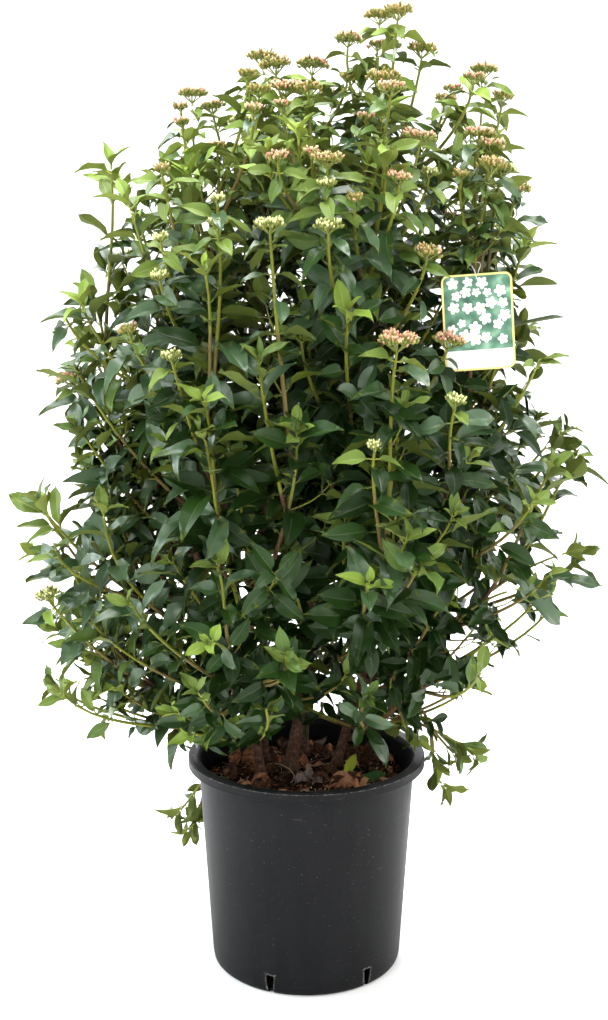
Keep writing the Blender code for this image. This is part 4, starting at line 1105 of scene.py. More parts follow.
LEAFY_TIPS = [
    (0.004, -0.100, 1.064), (0.087, -0.225, 1.019), (0.084, -0.140, 1.060), (-0.041, -0.230, 1.010),
    (-0.008, -0.272, 0.946), (-0.062, -0.280, 0.917), (-0.106, -0.270, 0.892), (0.251, -0.100, 0.917),
    (0.219, -0.170, 0.898), (-0.050, -0.310, 0.806), (-0.106, -0.315, 0.765), (0.280, -0.060, 0.719),
    (0.324, -0.020, 0.703), (0.330, -0.050, 0.671), (0.343, -0.050, 0.556), (0.286, -0.100, 0.512),
    (0.103, -0.330, 0.626), (0.118, -0.320, 0.600), (0.065, -0.330, 0.580), (-0.023, -0.300, 0.494),
    (-0.049, -0.220, 0.412), (0.271, -0.120, 0.697), (0.248, -0.120, 0.499), (0.221, -0.150, 0.476),
    (0.297, -0.100, 0.613), (-0.022, -0.29, 0.486),
    (-0.195, -0.173, 0.966), (0.263, -0.162, 0.834), (0.256, -0.191, 0.792), (0.275, -0.198, 0.679),
    (0.248, -0.236, 0.646), (0.348, -0.080, 0.525), (-0.313, -0.142, 0.631), (-0.352, -0.074, 0.548),
    (-0.288, -0.191, 0.583), (-0.301, -0.123, 0.401), (-0.236, -0.200, 0.415), (-0.151, -0.226, 0.365),
    (-0.289, -0.165, 0.724), (-0.251, -0.169, 0.855), (-0.234, -0.170, 0.898), (0.278, -0.158, 0.790),
    (0.276, -0.209, 0.565), (0.228, -0.251, 0.486), (0.196, -0.259, 0.464),
    (-0.335, -0.03, 0.611), (-0.287, -0.1, 0.508), (-0.291, -0.08, 0.408),
    (-0.313, -0.040, 0.457), (-0.305, 0.020, 0.418), (-0.265, -0.060, 0.419), (-0.243, -0.080, 0.395), (-0.323, -0.040, 0.383),
    (-0.294, 0.060, 0.407), (-0.270, -0.050, 0.369), (-0.260, -0.080, 0.663), (-0.271, 0.030, 0.619), (0.216, -0.060, 0.392),
    (-0.294, -0.030, 0.497), (-0.272, -0.100, 0.715), (0.235, 0.030, 0.373),
    (-0.257, -0.060, 0.862), (-0.288, -0.020, 0.764), (-0.311, 0.020, 0.475),
    (-0.107, -0.314, 0.730), (-0.148, -0.130, 0.340), (0.243, -0.100, 0.784), (-0.165, -0.115, 0.368), (-0.118, -0.140, 0.358),
    (-0.075, -0.120, 0.352), (0.184, 0.010, 0.241), (0.192, 0.020, 0.206), (0.156, -0.010, 0.284),
    (0.205, 0.000, 0.255), (0.231, 0.000, 0.250), (-0.172, 0.150, 0.097), (-0.188, 0.160, 0.118),
    (0.050, 0.105, 0.335), (0.020, 0.115, 0.330), (0.082, 0.085, 0.340), (-0.015, 0.115, 0.335),
    (0.102, 0.060, 0.345), (0.035, 0.120, 0.365), (0.068, 0.105, 0.370), (-0.050, 0.110, 0.345),
]
# tall straight shoots in front: the tip and the place from which each grows
TALL_SHOOTS = [
    ((-0.232, -0.05, 1.01), (-0.227, -0.06, 0.702)),
    ((-0.131, -0.17, 0.992), (-0.139, -0.12, 0.708)),
    ((-0.106, -0.28, 0.764), (-0.057, -0.1, 0.445)),
    ((0.083, -0.22, 1.017), (0.068, -0.14, 0.811)),
    ((-0.009, -0.2, 1.031), (-0.012, -0.12, 0.843)),
    ((0.08, -0.28, 0.573), (0.055, -0.06, 0.372)),
    ((0.094, -0.31, 0.643), (0.077, -0.1, 0.445)),
    ((-0.235, -0.19, 0.628), (-0.169, -0.08, 0.44)),
]
SHELLS = ((0.87, 84, 0.385), (0.66, 44, 0.370), (0.42, 28, 0.335), (0.20, 14, 0.330))
SHELL_TOP = 1.08
LONGEST_SHOOT = 0.235
GOLDEN_ANGLE = radians(137.508)
TIP_SPACING = 0.048


def all_tips(chance):
    """Each shoot's tip and what ends it: those listed, then those of the shells."""
    placed = []
    for tip, foot in TALL_SHOOTS:
        placed.append(Vector(tip))
        yield placed[-1], "leafy", 0.0, foot
    for ending, tips in list(HEAD_TIPS.items()) + [("leafy", LEAFY_TIPS)]:
        for x, y, z, *radius in tips:
            placed.append(Vector((x, y, z)))
            yield placed[-1], ending, (radius or [0.0])[0], None
    placed += [path["points"][-1] for path in paths.values()]
    for reach_share, count, foot in SHELLS:
        for k in range(count):
            height = foot + (SHELL_TOP - foot) * (k + 0.5) / count
            bearing = GOLDEN_ANGLE * k + 10 * reach_share
            radius = crown_reach(height) * reach_share * chance.uniform(0.92, 1.02)
            tip = Vector((radius * cos(bearing), radius * sin(bearing), height + chance.gauss(0, 0.012)))
            if min((tip - other).length for other in placed) < TIP_SPACING or hides_card(tip):
                continue
            placed.append(tip)
            flowers = chance.random() < 0.62 * min(max((height - 0.80) / 0.20, 0.0), 1.0)
            ending = chance.choice(("pink", "tan", "cream")) if flowers else "leafy"
            yield tip, ending, chance.uniform(0.010, 0.018), None


# %% Growing the shoots
SHOOT_LENGTH = 0.17
LIMB_SAMPLE = 0.012
TUFT_REACH = 0.026

limb_places = []
for name, path in paths.items():
    bare = PLAN[name.split("_")[0]]["bare"] * 0.45
    for k in range(int(bare / LIMB_SAMPLE), int((path["length"] - 0.04) / LIMB_SAMPLE)):
        limb_places.append(point_along(path["points"], k * LIMB_SAMPLE))
limb_points = np.array([point[:] for point, way in limb_places])


def shoot_points(tip, ending, head_radius, foot=None):
    """The path of a shoot up to its tip, from the limb that passes nearest to its proper start."""
    outward = Vector((tip.x, tip.y, 0.0)).normalized()
    share = min(max((tip.z - 0.30) / 0.85, 0.0), 1.0)
    rise = min(max((tip.z - 0.32) / 0.08, -0.9), 1.0)
    end_way = (Vector((0, 0, rise)) + outward * (0.95 - 0.80 * share)).normalized()
    end = tip - end_way * (TUFT_REACH if ending == "leafy" else 0.003 + 0.95 * head_radius)
    length = SHOOT_LENGTH if ending == "leafy" else SHOOT_LENGTH * min(0.4 + 35 * head_radius, 1.0)
    wanted = end - (outward * (0.75 - 0.45 * share) + Vector((0, 0, 0.85))).normalized() * length
    if foot:
        wanted = Vector(foot)
        end_way = (Vector((0, 0, 1)) + outward * 0.08).normalized()
    elif tip.z < 0.32:
        wanted = end + outward * 0.02 + Vector((0, 0, 0.07))
    offset = limb_points - np.array(wanted)
    aside = offset @ np.array((-outward.y, outward.x, 0.0))
    apart = np.sqrt((offset ** 2).sum(axis=1) + 3.0 * aside ** 2)
    if tip.z > 0.32:
        apart += np.where(limb_points[:, 2] > max(end.z - 0.07, 0.30), 0.2, 0.0)
    start, along = limb_places[int(apart.argmin())]
    start_way = (end - start).normalized() + outward * 0.35
    return curved_path(start, start_way, end, end_way, 10, bend=0.8)


for tip, ending, head_radius, foot in all_tips(crown.chance):
    points = shoot_points(tip, ending, head_radius, foot)
    longest = 1.0 if foot else LONGEST_SHOOT if ending == "leafy" else LONGEST_SHOOT + 0.02
    if not all(map(allowed, points)) or path_length(points) > longest or fills_sky(points[-1]):
        continue
    thick = 0.0020 + 0.0035 * path_length(points)
    green_from = crown.chance.randint(2, 7) + (2 if tip.z < 0.70 else 0)
    slots = [0, 0] + [1 if k < green_from else 2 for k in range(2, 10)]
    crown.rod(points, [thick + (0.0015 - thick) * k / 10 for k in range(11)], slots, 5)
    if foot:
        clothe(crown, points, 0.050, 0.038, 0.050, 0.10, ending)
        samples = range(4, int((path_length(points) - 0.06) / LIMB_SAMPLE))
        limb_places += [point_along(points, k * LIMB_SAMPLE) for k in samples]
        limb_points = np.array([point[:] for point, way in limb_places])
    else:
        clothe(crown, points, 0.030, 0.030, 0.065, 0.16, ending, head_radius)
print("with the shoots:", crown.leaf_count, "leaves and", crown.head_count, "flower heads")

# %% One mesh for each kind and zone
MATERIALS_OF = {"leaves": LEAF_MATERIALS, "shoots": TWIG_MATERIALS, "flower_heads": HEAD_MATERIALS}
triangles = 0
for (kind, zone), pile in crown.piles.items():
    if pile.total:
        nodes = ["foliage_" + name for name in paths if name.startswith(zone + "_")]
        piece = settle(pile.to_object(f"{kind}_{zone}", MATERIALS_OF[kind]), nodes)
        triangles += sum(len(face.vertices) - 2 for face in piece.data.polygons)
print("the crown has", triangles, "triangles")

# %% [markdown]
# ## The pot
#
# A black nursery pot is thin injection-moulded plastic. Its rim turns over into a short skirt that
# makes it stiff, the foot is rounded, and notches at the foot let water out. The wall is spun from
# its profile. Rings stand closer near the foot, where the notches are cut with a Boolean. An attribute
# keeps scuffing round the notches and at the foot, a painted highlight along the rim's edge, and painted shade deep in
# the notches.

# %% The pot's shell
POT_STEPS = 160
RIM_EDGE = 0.0016
# near black: the painted shade deep in the notches
NOTCH_PAINTED_SHADE = (0.0022, 0.0012, 0.0008)
NOTCH_BEARINGS = [NOTCH_FIRST_ANGLE + 2 * pi * k / NOTCH_COUNT for k in range(NOTCH_COUNT)]


def refine_round_notches(work):
    """Smaller faces where the notches come, so that the marks can hug their edges."""
    def near(vert):
        if vert.co.z > 0.032 or vert.co.xy.length < BASE_RADIUS - 0.012:
            return False
        return any(abs(vert.co.y * cos(a) - vert.co.x * sin(a)) < 0.013 and vert.co.x * cos(a) + vert.co.y * sin(a) > 0
                   for a in NOTCH_BEARINGS)

    edges = [edge for edge in work.edges if near(edge.verts[0]) and near(edge.verts[1])]
    bmesh.ops.subdivide_edges(work, edges=edges, cuts=3, use_grid_fill=True)
    return work


def spun(profile, steps):
    """A closed turned solid from a profile of (radius, height) that starts and ends on the axis."""
    work = bmesh.new()
    verts = [work.verts.new((radius, 0.0, height)) for radius, height in profile]
    edges = [work.edges.new(pair) for pair in zip(verts, verts[1:])]
    bmesh.ops.spin(work, geom=verts + edges, cent=(0, 0, 0), axis=(0, 0, 1), angle=2 * pi,
                   steps=steps, use_merge=True)
    bmesh.ops.remove_doubles(work, verts=work.verts, dist=0.00005)
    bmesh.ops.recalc_face_normals(work, faces=work.faces)
    return work


def arc(centre_radius, centre_height, radius, first, last, steps):
    angles = [radians(first + (last - first) * k / steps) for k in range(steps + 1)]
    return [(centre_radius + radius * cos(a), centre_height + radius * sin(a)) for a in angles]


def pot_profile():
    """Down the inside, along the floor, up the outside and over the rim."""
    inner_foot = wall_radius(0.009) - POT_WALL
    wall_top = wall_radius(POT_HEIGHT - POT_WALL)
    profile = [(0.0, 0.0)]
    profile += arc(BASE_RADIUS - BASE_ROUND, BASE_ROUND, BASE_ROUND, -90, 0, 6)
    profile += [(wall_radius(height), height) for height in (0.010, 0.014, 0.018, 0.022, 0.026, 0.031, 0.038)]
    profile += [(wall_radius(height / 1000), height / 1000) for height in range(50, 260, 12)]
    profile += arc(wall_top + 0.0012, POT_HEIGHT - POT_WALL - 0.0012, 0.0012, 180, 90, 2)
    profile += [(RIM_RADIUS - POT_WALL - 0.0008, POT_HEIGHT - POT_WALL),
                (RIM_RADIUS - POT_WALL, POT_HEIGHT - POT_WALL - 0.0008),
                (RIM_RADIUS - POT_WALL, POT_HEIGHT - RIM_DROP + 0.0004)]
    profile += [(RIM_RADIUS - POT_WALL + 0.0005, POT_HEIGHT - RIM_DROP), (RIM_RADIUS - 0.0006, POT_HEIGHT - RIM_DROP)]
    profile += [(RIM_RADIUS, POT_HEIGHT - RIM_DROP + 0.0006), (RIM_RADIUS - 0.0004, POT_HEIGHT - 0.0062)]
    profile += arc(RIM_RADIUS - RIM_EDGE, POT_HEIGHT - RIM_EDGE, RIM_EDGE, 0, 90, 4)
    profile += [(RIM_RADIUS - 0.0052, POT_HEIGHT - 0.0006), (wall_top + 0.0045, POT_HEIGHT - 0.0008),
                (wall_top + 0.0020, POT_HEIGHT - 0.0002), (wall_top - 0.0002, POT_HEIGHT - 0.0006),
                (wall_radius(POT_HEIGHT - 0.003) - POT_WALL, POT_HEIGHT - 0.003)]
    profile += [(wall_radius(height) - POT_WALL, height) for height in (0.262, 0.252, 0.240, 0.12)]
    profile += [(inner_foot, 0.009), (inner_foot - 0.006, POT_FLOOR), (0.0, POT_FLOOR)]
    return profile


def make_notch_cutter():
    """All the notches' cutters in one mesh: slots that narrow towards the pot's underside."""
    work = bmesh.new()
    bmesh.ops.create_cube(work, size=1.0)
    for vert in work.verts:
        top = vert.co.z > 0
        vert.co.x = BASE_RADIUS + vert.co.x * NOTCH_DEPTH
        vert.co.y *= NOTCH_TOP_WIDTH if top else NOTCH_FOOT_WIDTH
        vert.co.z = NOTCH_HEIGHT if top else -0.002
    upper = [edge for edge in work.edges if edge.verts[0].co.z > 0 and edge.verts[1].co.z > 0
             and abs(edge.verts[0].co.x - edge.verts[1].co.x) > 0.01]
    bmesh.ops.bevel(work, geom=upper, offset=0.0022, affect="EDGES", segments=3, profile=0.5, material=-1)
    bmesh.ops.rotate(work, verts=work.verts[:], cent=(0, 0, 0), matrix=Matrix.Rotation(NOTCH_FIRST_ANGLE, 3, "Z"))
    bmesh.ops.spin(work, geom=work.verts[:] + work.edges[:] + work.faces[:], cent=(0, 0, 0), axis=(0, 0, 1),
                   angle=2 * pi * (NOTCH_COUNT - 1) / NOTCH_COUNT, steps=NOTCH_COUNT - 1, use_duplicate=True)
    return object_from_work("notch cutter", work, [], smooth=False)


def cut_notches(thing):
    """Take the notches out of the wall."""
    cutter = make_notch_cutter()
    modifier = thing.modifiers.new("cut", "BOOLEAN")
    modifier.operation = "DIFFERENCE"
    modifier.solver = "MANIFOLD"
    modifier.object = cutter
    thing.data = bpy.data.meshes.new_from_object(thing.evaluated_get(bpy.context.evaluated_depsgraph_get()))
    thing.modifiers.clear()
    bpy.data.objects.remove(cutter)


def note_wear_and_painted_light(mesh):
    """How much each corner is marked, from 0 to 1, with scuffs round the notches and at the foot and a painted
    highlight along the rim's edge, and -1 deep in the notches, where painted shade lies.
    """
    wear_and_light_layer = mesh.attributes.new("wear", "FLOAT", "POINT")
    for vert in mesh.vertices:
        place = vert.co
        bearing = Vector((place.x, place.y, 0.0))
        value = 0.55 * exp(-max(place.z, 0.0) / 0.004)
        # painted highlight: a pale line along the rim's outer top edge
        if place.z > POT_HEIGHT - RIM_DROP - 0.001:
            value = max(value, 0.95 * exp(-abs(place.z - POT_HEIGHT + 0.001) / 0.0012)
                        * (bearing.length > RIM_RADIUS - 0.004))
        for angle in NOTCH_BEARINGS:
            across = abs((place.x * -sin(angle)) + place.y * cos(angle))
            if place.x * cos(angle) + place.y * sin(angle) > 0 and place.z < 0.04:
                half = NOTCH_FOOT_WIDTH / 2 + (NOTCH_TOP_WIDTH - NOTCH_FOOT_WIDTH) / 2 * place.z / NOTCH_HEIGHT
                apart = max(across - half, place.z - NOTCH_HEIGHT)
                value = max(value, exp(-max(apart - 0.0006, 0.0) / 0.0040) if apart > -0.0004 else 0.0)
                # painted shade: the insides of the notches get -1, which the finish and the second slot make near black
                if apart < 0.0006 and bearing.length < wall_radius(place.z) - 0.0014 and place.z > 0.0002:
                    value = -1.0
        wear_and_light_layer.data[vert.index].value = value
    for face in mesh.polygons:
        # faces deep in the notches take the second slot, the painted shade
        face.material_index = int(all(wear_and_light_layer.data[corner].value < 0 for corner in face.vertices))


def pot_finish():
    finish = Finish("black pot plastic", roughness=0.5)
    place = finish.place()
    tall = finish.node("ShaderNodeMapping", None, {"Vector": place, "Scale": (1.0, 1.0, 0.12)})
    flat = finish.node("ShaderNodeMapping", None, {"Vector": place, "Scale": (0.12, 0.12, 1.6)})
    mottle = finish.noise(tall, 70.0, 4.0, 0.6)
    cloud = finish.noise(place, 9.0, 2.0)
    fine = finish.noise(place, 900.0, 2.0)
    scratch = finish.step(finish.noise(flat, 330.0, 2.0), 0.70, 0.77)
    dust = finish.step(finish.noise(place, 420.0, 1.0), 0.72, 0.78)
    wear = finish.node("ShaderNodeAttribute", dict(attribute_name="wear"), output=2)
    body = finish.ramp(mottle * 0.6 + cloud * 0.4, [(0.3, (0.0025, 0.0026, 0.0030)), (0.7, (0.0065, 0.0066, 0.0074))])
    marked = finish.mix(scratch * 0.20 + dust * 0.30, body, (0.16, 0.16, 0.165, 1.0))
    # pale marks: real scuffing round the notches and at the foot, and a painted highlight along the rim's edge
    rubbed_and_highlit = finish.step(wear + finish.noise(place, 300.0, 4.0) * 1.5, 1.40, 1.95)
    edged = finish.mix(rubbed_and_highlit * 0.8, marked, (0.15, 0.145, 0.135, 1.0))
    # painted shade: near black deep in the notches
    colour = finish.mix(finish.step(wear * -1.0, 0.0, 0.5), edged, (*NOTCH_PAINTED_SHADE, 1.0))
    finish.bump(fine * 0.3 + mottle * 0.7, 0.0004, 0.5)
    finish.shader.inputs["Specular IOR Level"].default_value = 0.10
    return finish.set(base_color=colour, roughness=0.40 + mottle * 0.16 + rubbed_and_highlit * 0.15)


# the second finish is the painted shade inside the notches
pot = object_from_work("pot_shell", refine_round_notches(spun(pot_profile(), POT_STEPS)),
                       [pot_finish(), plain_material("painted shade in the notches", NOTCH_PAINTED_SHADE, 1.0, 0.0)])
cut_notches(pot)
pot.data.shade_smooth()
pot.data.set_sharp_from_angle(angle=radians(38))
note_wear_and_painted_light(pot.data)
settle(pot, ["pot"])

# %% [markdown]
# ## The compost
#
# The compost is dark and crumbly, with shreds of bark, a few white grains of perlite and dead leaves
# on top. Its surface is spun and then roughened with noise. The bark chips and the grains are small
# meshes strewn by a seeded rule, and the dead leaves are the leaf template again, folded hard.

# %% The compost's body
SOIL_GAP = 0.0003
SOIL_STEPS = 128


def compost_profile():
    def fill(height):
        return wall_radius(height) - POT_WALL - SOIL_GAP

    rim = fill(SOIL_EDGE_LEVEL)
    bottom = POT_FLOOR + SOIL_GAP
    profile = [(0.0, bottom), (fill(bottom) - 0.007, bottom), (fill(bottom + 0.007), bottom + 0.007)]
    profile += [(fill(0.06), 0.06), (fill(0.12), 0.12), (fill(0.20), 0.20)]
    profile += [(rim * share / 48, SOIL_EDGE_LEVEL) for share in range(48, 0, -1)]
    profile.append((0.0, SOIL_EDGE_LEVEL))
    return profile


def compost_height(x, y):
    """The surface: level in the middle, lower towards the wall, with crumbs."""
    radius = sqrt(x * x + y * y)
    level = SOIL_LEVEL - (SOIL_LEVEL - SOIL_EDGE_LEVEL) * min(max((radius - 0.08) / 0.05, 0.0), 1.0)
    lump = noise.noise(Vector((x * 42, y * 42, 3.0))) * 0.0022
    crumb = noise.noise(Vector((x * 150, y * 150, 7.0))) * 0.0014
    return level + (lump + crumb) * min(1.0, (0.1325 - radius) / 0.01 + 0.3) - 0.0008


def soil_finish():
    finish = Finish("compost", roughness=0.95)
    place = finish.place()
    grain = finish.noise(place, 190.0, 6.0, 0.72)
    patch = finish.noise(place, 26.0, 2.0)
    dark = finish.ramp(grain, [(0.36, (0.002, 0.0015, 0.001)), (0.52, (0.014, 0.008, 0.005)),
                               (0.68, (0.080, 0.045, 0.025)), (0.80, (0.22, 0.16, 0.10))])
    rusty = finish.ramp(grain, [(0.36, (0.006, 0.003, 0.002)), (0.55, (0.050, 0.022, 0.011)),
                                (0.72, (0.170, 0.088, 0.045)), (0.82, (0.30, 0.20, 0.12))])
    colour = finish.mix(finish.step(patch, 0.42, 0.62), dark, rusty)
    # painted shade: the compost is near black below 0.10 m and fades in up to 0.20 m, where it shows through the
    # notches
    height = finish.node("ShaderNodeSeparateXYZ", None, {0: place}, output=2)
    colour = finish.mix(finish.step(height, 0.10, 0.20), (0.0015, 0.0010, 0.0008, 1.0), colour)
    finish.bump(grain, 0.0035)
    finish.shader.inputs["Specular IOR Level"].default_value = 0.0
    return finish.set(base_color=colour)


def make_compost():
    work = spun(compost_profile(), SOIL_STEPS)
    for vert in work.verts:
        if vert.co.z > SOIL_EDGE_LEVEL - 0.0001 and vert.co.xy.length < 0.1315:
            vert.co.z = compost_height(vert.co.x, vert.co.y)
    return settle(object_from_work("compost", work, [soil_finish()]), ["soil"])


compost = make_compost()

# %% Bark chips, grains and dead leaves on the compost
LITTER_COLOURS = {
    "chip dark": (0.012, 0.006, 0.004), "chip red": (0.140, 0.055, 0.026), "chip tan": (0.340, 0.210, 0.110),
    "perlite": (0.66, 0.63, 0.56), "moss": (0.110, 0.140, 0.025), "dead leaf rust": (0.260, 0.110, 0.055),
    "dead leaf grey": (0.200, 0.150, 0.125), "fallen leaf yellow": (0.280, 0.330, 0.035),
    "fallen leaf green": (0.022, 0.062, 0.016), "fine root": (0.420, 0.320, 0.170),
    "dead leaf brown": (0.050, 0.024, 0.013), "dead leaf tan": (0.280, 0.140, 0.075),
}


def litter_finish(name, colour):
    """A dead leaf is blotched. Small things keep one colour."""
    if not name.startswith("dead leaf"):
        return plain_material(name, colour, 0.85, 0.08)
    finish = Finish(name, roughness=0.85)
    blotch = finish.noise(finish.place(), 230.0, 5.0, 0.65)
    shares = (0.75, 1.35) if name == "dead leaf tan" else (0.30, 1.70)
    dark, light = (tuple(value * share for value in colour) for share in shares)
    finish.bump(blotch, 0.0012)
    finish.shader.inputs["Specular IOR Level"].default_value = 0.08
    return finish.set(base_color=finish.ramp(blotch, [(0.36, dark), (0.52, colour), (0.68, light)]))


LITTER_MATERIALS = [litter_finish(name, colour) for name, colour in LITTER_COLOURS.items()]
CHIP_COUNT = 1300
CHIP_SIZE = (0.003, 0.013)
DEAD_LEAF_COUNT = 46
# place, turn, length, slot, template, tilt towards the front, width and crumple of each fallen leaf
FALLEN = [
    ((0.046, -0.040), 0.15, 0.036, 11, 3, 0.95, 1.70, 0.25), ((-0.006, -0.038), 0.5, 0.022, 6, 5, 0.80, 1.5, 2.6),
    ((0.012, -0.034), 2.4, 0.022, 6, 7, 1.00, 1.3, 2.8), ((0.002, -0.026), 1.3, 0.024, 6, 4, 1.10, 1.2, 2.2),
    ((0.020, -0.046), 0.3, 0.030, 10, 16, 0.50, 1.0, 1.2),
    ((0.056, 0.000), 1.10, 0.034, 7, 1, 1.15, 0.90, 0.3), ((0.086, -0.020), 0.4, 0.038, 8, 2, 0.30, 1.2, 1.2),
    ((0.104, 0.060), 2.6, 0.030, 5, 6, 0.50, 1.2, 0.6), ((-0.072, 0.060), 4.0, 0.038, 5, 8, 0.30, 1.0, 0.8),
    ((-0.060, -0.070), 3.4, 0.034, 10, 9, 0.50, 1.1, 1.4), ((-0.095, -0.010), 5.2, 0.030, 10, 11, 0.60, 1.1, 1.6),
    ((0.060, 0.050), 0.2, 0.036, 10, 12, 0.90, 1.2, 1.6), ((0.080, 0.030), 2.9, 0.030, 10, 14, 0.80, 1.2, 1.8),
    ((-0.045, -0.050), 1.0, 0.024, 10, 15, 0.60, 1.1, 2.0), ((-0.048, 0.005), 0.3, 0.034, 10, 13, 0.90, 1.0, 1.6),
]
LEANING_LEAF_COUNT = 20


def strew(chance):
    pile = Pile()
    work = bmesh.new()
    bmesh.ops.create_cube(work, size=1.0)
    work.verts.index_update()
    box = np.array([vert.co[:] for vert in work.verts])
    box_faces = np.array([[vert.index for vert in face.verts] for face in work.faces])
    work.free()
    for _ in range(CHIP_COUNT):
        radius, bearing = 0.128 * sqrt(chance.random()), chance.uniform(0, 2 * pi)
        x, y = radius * cos(bearing), radius * sin(bearing)
        long = chance.uniform(*CHIP_SIZE) * chance.uniform(0.5, 1.0)
        shape = box * (long, long * chance.uniform(0.15, 0.4), long * chance.uniform(0.05, 0.14))
        shape = shape * np.array([[chance.uniform(0.45, 1.1)] for _ in box])
        turn = Matrix.Rotation(chance.uniform(0, 2 * pi), 3, "Z") @ Matrix.Rotation(chance.gauss(0, 0.35), 3, "Y")
        place = (x, y, compost_height(x, y) + 0.0008)
        pile.add(shape @ np.array(turn).T + np.array(place), box_faces, chance.choice((0, 0, 1, 1, 1, 2)))
    for k in range(70):
        radius, bearing = 0.126 * sqrt(chance.random()), chance.uniform(0, 2 * pi)
        x, y = radius * cos(bearing), radius * sin(bearing)
        corners, faces, _ = BUD
        size = chance.uniform(0.0014, 0.0034)
        pile.add(corners * size + np.array((x, y, compost_height(x, y) + size * 0.3)), faces,
                 3 if k % 3 else 4)
    scattered = []
    for k in range(DEAD_LEAF_COUNT):
        radius, bearing = 0.118 * sqrt(chance.random()), chance.uniform(0, 2 * pi)
        scattered.append(((radius * cos(bearing), radius * sin(bearing)), chance.uniform(0, 2 * pi),
                          chance.uniform(0.012, 0.028), chance.choice((10, 10, 10, 11, 5)), k, 0.25, 1.1, 1.0))
    for k in range(LEANING_LEAF_COUNT):
        bearing, radius = chance.uniform(0.1, pi - 0.1), chance.uniform(0.060, 0.112)
        scattered.append(((radius * cos(bearing), radius * sin(bearing)), chance.uniform(0, 2 * pi),
                          chance.uniform(0.022, 0.036), chance.choice((10, 10, 10, 5)), k, chance.uniform(0.5, 1.2),
                          1.1, 1.6))
    for (x, y), bearing, length, slot, number, tilt, width, crumple in FALLEN + scattered:
        corners, faces, _ = LEAVES[number % len(LEAVES)]
        curl = corners * (1.0, width, 1.0)
        curl[:, 2] += crumple * (1.2 * curl[:, 1] ** 2 * (1 if number % 2 else -1) + 0.05 * np.sin(curl[:, 0] * 9 + number)
                                 + 0.035 * np.sin(curl[:, 1] * 30 + curl[:, 0] * 11 + number))
        turn = Matrix.Rotation(tilt, 3, "X") @ Matrix.Rotation(bearing, 3, "Z")
        lift = compost_height(x, y) + 0.001 - ((curl - curl.mean(axis=0)) @ np.array(turn * length).T)[:, 2].min() * 0.8
        curl = curl - curl.mean(axis=0)
        pile.add(curl @ np.array(turn * length).T + np.array((x, y, lift)), faces, slot)
    for _ in range(90):
        radius, bearing = 0.124 * sqrt(chance.random()), chance.uniform(0, 2 * pi)
        first = Vector((radius * cos(bearing), radius * sin(bearing), 0.0))
        last = first + Vector((chance.gauss(0, 0.007), chance.gauss(0, 0.007), 0.0))
        if last.length < 0.128:
            first.z, last.z = compost_height(*first.xy) + 0.001, compost_height(*last.xy) + 0.001
            arch = Vector((0.0, 0.0, chance.uniform(0.2, 1.4)))
            pile.add(*prism(curved_path(first, arch + (last - first) * 60, last, (last - first) * 60 - arch, 5),
                            [0.0004] * 6), 9 if chance.random() < 0.75 else 4)
    for foot, height, end in (((0.012, 0.058), 0.018, (0.042, 0.050)), ((-0.060, 0.020), 0.010, (-0.020, -0.034)),
                              ((0.060, 0.062), 0.012, (0.100, 0.040))):
        first, last = Vector((*foot, compost_height(*foot))), Vector((*end, compost_height(*end)))
        side = Vector((foot[1] - end[1], end[0] - foot[0], 0.0)) * 0.4
        pile.add(*prism(curved_path(first, side + Vector((0, 0, height * 2)), last, -side - Vector((0, 0, height)), 14),
                        [0.0007] * 15), 9)
    return pile


litter = strew(random.Random("litter")).to_object("compost_litter", LITTER_MATERIALS)
settle(litter, ["soil"])

# %% [markdown]
# ## The plant label
#
# A plastic card hangs from a shoot by a thin white tie. It has round corners, a green ground with
# white blossoms, a narrow yellow edge and a white foot. The print here is a plain one of its own:
# each blossom is five petals round a small middle, strewn by a seeded rule. Petals are thin flat discs that
# lie on the card, so that their outline stays sharp close up.

# %% The card and its print
CARD_SIZE = (0.077, 0.104)
CARD_THICKNESS = 0.0008
CARD_TURN = radians(-4)
CARD_MARGIN = 0.0022
CARD_FOOT = 0.022
HOLE_DROP = 0.007


def card_outline(work, width, height, corner, depth):
    verts = [work.verts.new((x * width / 2, depth, z * height / 2)) for x, z in ((-1, -1), (1, -1), (1, 1), (-1, 1))]
    face = work.faces.new(verts)
    bmesh.ops.bevel(work, geom=verts, offset=corner, affect="VERTICES", segments=5, profile=0.5, material=-1)
    return [face for face in work.faces if face.is_valid][0]


def petal(work, centre, bearing, length, slot, depth):
    """A thin oval disc on the card's face, in front of it by depth."""
    disc = bmesh.ops.create_circle(work, cap_ends=True, segments=10, radius=0.5)["verts"]
    bmesh.ops.scale(work, verts=disc, vec=(length, length * 0.72, 1.0))
    bmesh.ops.translate(work, verts=disc, vec=(length * 0.48, 0, 0))
    bmesh.ops.rotate(work, verts=disc, cent=(0, 0, 0), matrix=Matrix.Rotation(bearing, 3, "Z"))
    bmesh.ops.rotate(work, verts=disc, cent=(0, 0, 0), matrix=Matrix.Rotation(pi / 2, 3, "X"))
    bmesh.ops.translate(work, verts=disc, vec=(centre[0], -depth, centre[1]))
    for face in {face for vert in disc for face in vert.link_faces}:
        face.material_index = slot
        face.normal_update()
        if face.normal.y > 0:
            face.normal_flip()


def printed_ground():
    finish = Finish("card ground", roughness=0.35)
    place = finish.place()
    blur = finish.noise(place, 75.0, 2.0, 0.4)
    colour = finish.ramp(blur, [(0.30, (0.020, 0.080, 0.045)), (0.52, (0.080, 0.210, 0.125)),
                                (0.72, (0.240, 0.420, 0.290))])
    return finish.set(base_color=colour)


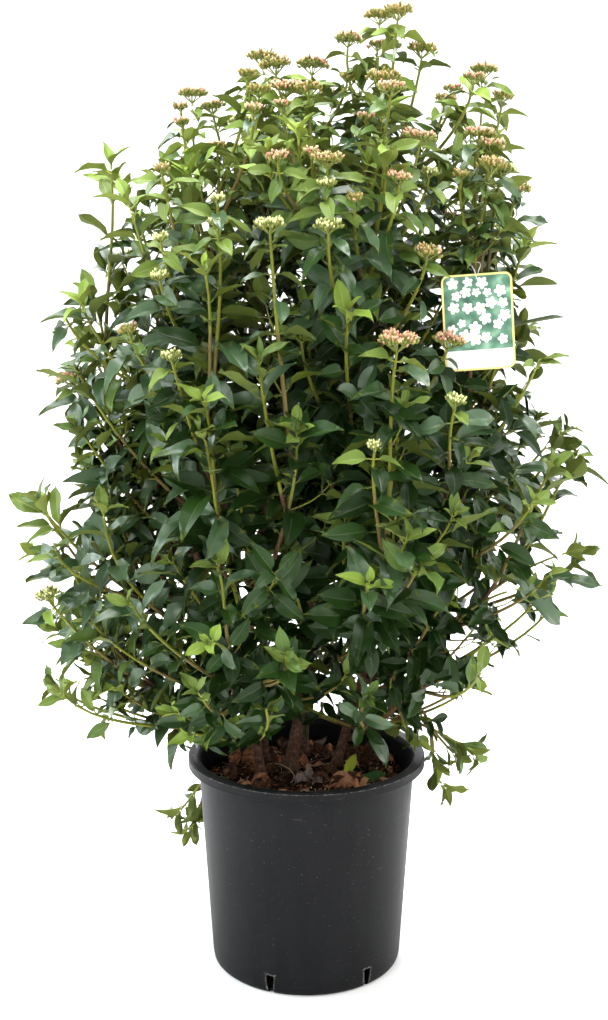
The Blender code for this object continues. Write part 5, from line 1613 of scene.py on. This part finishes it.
def make_card():
    width, height = CARD_SIZE
    work = bmesh.new()
    face = card_outline(work, width, height, 0.008, -CARD_THICKNESS / 2)
    bmesh.ops.recalc_face_normals(work, faces=work.faces)
    body = bmesh.ops.extrude_face_region(work, geom=[face])
    moved = [item for item in body["geom"] if isinstance(item, bmesh.types.BMVert)]
    bmesh.ops.translate(work, verts=moved, vec=(0, CARD_THICKNESS, 0))
    bmesh.ops.recalc_face_normals(work, faces=work.faces)
    front = min(work.faces, key=lambda each: each.calc_center_median().y)
    front.material_index = 2
    bmesh.ops.inset_region(work, faces=[front], thickness=CARD_MARGIN, depth=0.0)
    ring = set(work.faces)
    ground = min((each for each in ring if each.normal.y < -0.9), key=lambda each: -each.calc_area())
    ground.material_index = 1
    cut = bmesh.ops.bisect_plane(work, geom=[ground] + list(ground.edges) + list(ground.verts),
                                 plane_co=(0, 0, -height / 2 + CARD_FOOT), plane_no=(0, 0.0, 1.0))
    for each in work.faces:
        if each.normal.y < -0.9 and each.calc_center_median().z < -height / 2 + CARD_FOOT and each.material_index == 1:
            each.material_index = 0
    chance = random.Random("card")
    depth = CARD_THICKNESS / 2 + 0.00008
    blossoms = []
    while len(blossoms) < 24:
        size = chance.uniform(0.0050, 0.0078)
        x = chance.uniform(-1, 1) * (width / 2 - CARD_MARGIN - size * 1.05)
        z = chance.uniform(-height / 2 + CARD_FOOT + size * 1.1, height / 2 - CARD_MARGIN - size * 1.05)
        if all((x - other[0]) ** 2 + (z - other[1]) ** 2 > 0.0108 ** 2 for other in blossoms):
            blossoms.append((x, z, size))
    for number, (x, z, size) in enumerate(blossoms):
        first = chance.uniform(0, 2 * pi)
        level = depth + 0.00008 * (number % 3)
        for k in range(5):
            petal(work, (x, z), first + 2 * pi * k / 5, size, 3, level + 0.00001 * k)
        petal(work, (x - size * 0.2, z), 0.0, size * 0.42, 2, level + 0.00007)
    materials = [plain_material("card white", (0.78, 0.79, 0.76), 0.35), printed_ground(),
                 plain_material("card yellow", (0.70, 0.62, 0.20), 0.35),
                 plain_material("print white", (0.86, 0.87, 0.84), 0.35)]
    mesh = bpy.data.meshes.new("plant_label")
    bmesh.ops.rotate(work, verts=work.verts, cent=(0, 0, 0), matrix=Matrix.Rotation(CARD_TURN, 3, "Y"))
    bmesh.ops.translate(work, verts=work.verts, vec=(card_low + card_high) / 2)
    work.to_mesh(mesh)
    work.free()
    return settle(object_from("plant_label", mesh, materials, smooth=False), ["label_card"])


def tie_finish():
    finish = Finish("white tie", roughness=0.45)
    tint = finish.noise(finish.place(), 400.0, 2.0)
    return finish.set(base_color=finish.ramp(tint, [(0.3, (0.66, 0.66, 0.63)), (0.7, (0.80, 0.80, 0.78))]))


make_card()
tie = frame["nodes"]["label_tie"]
tie.data.materials.clear()
tie.data.materials.append(tie_finish())
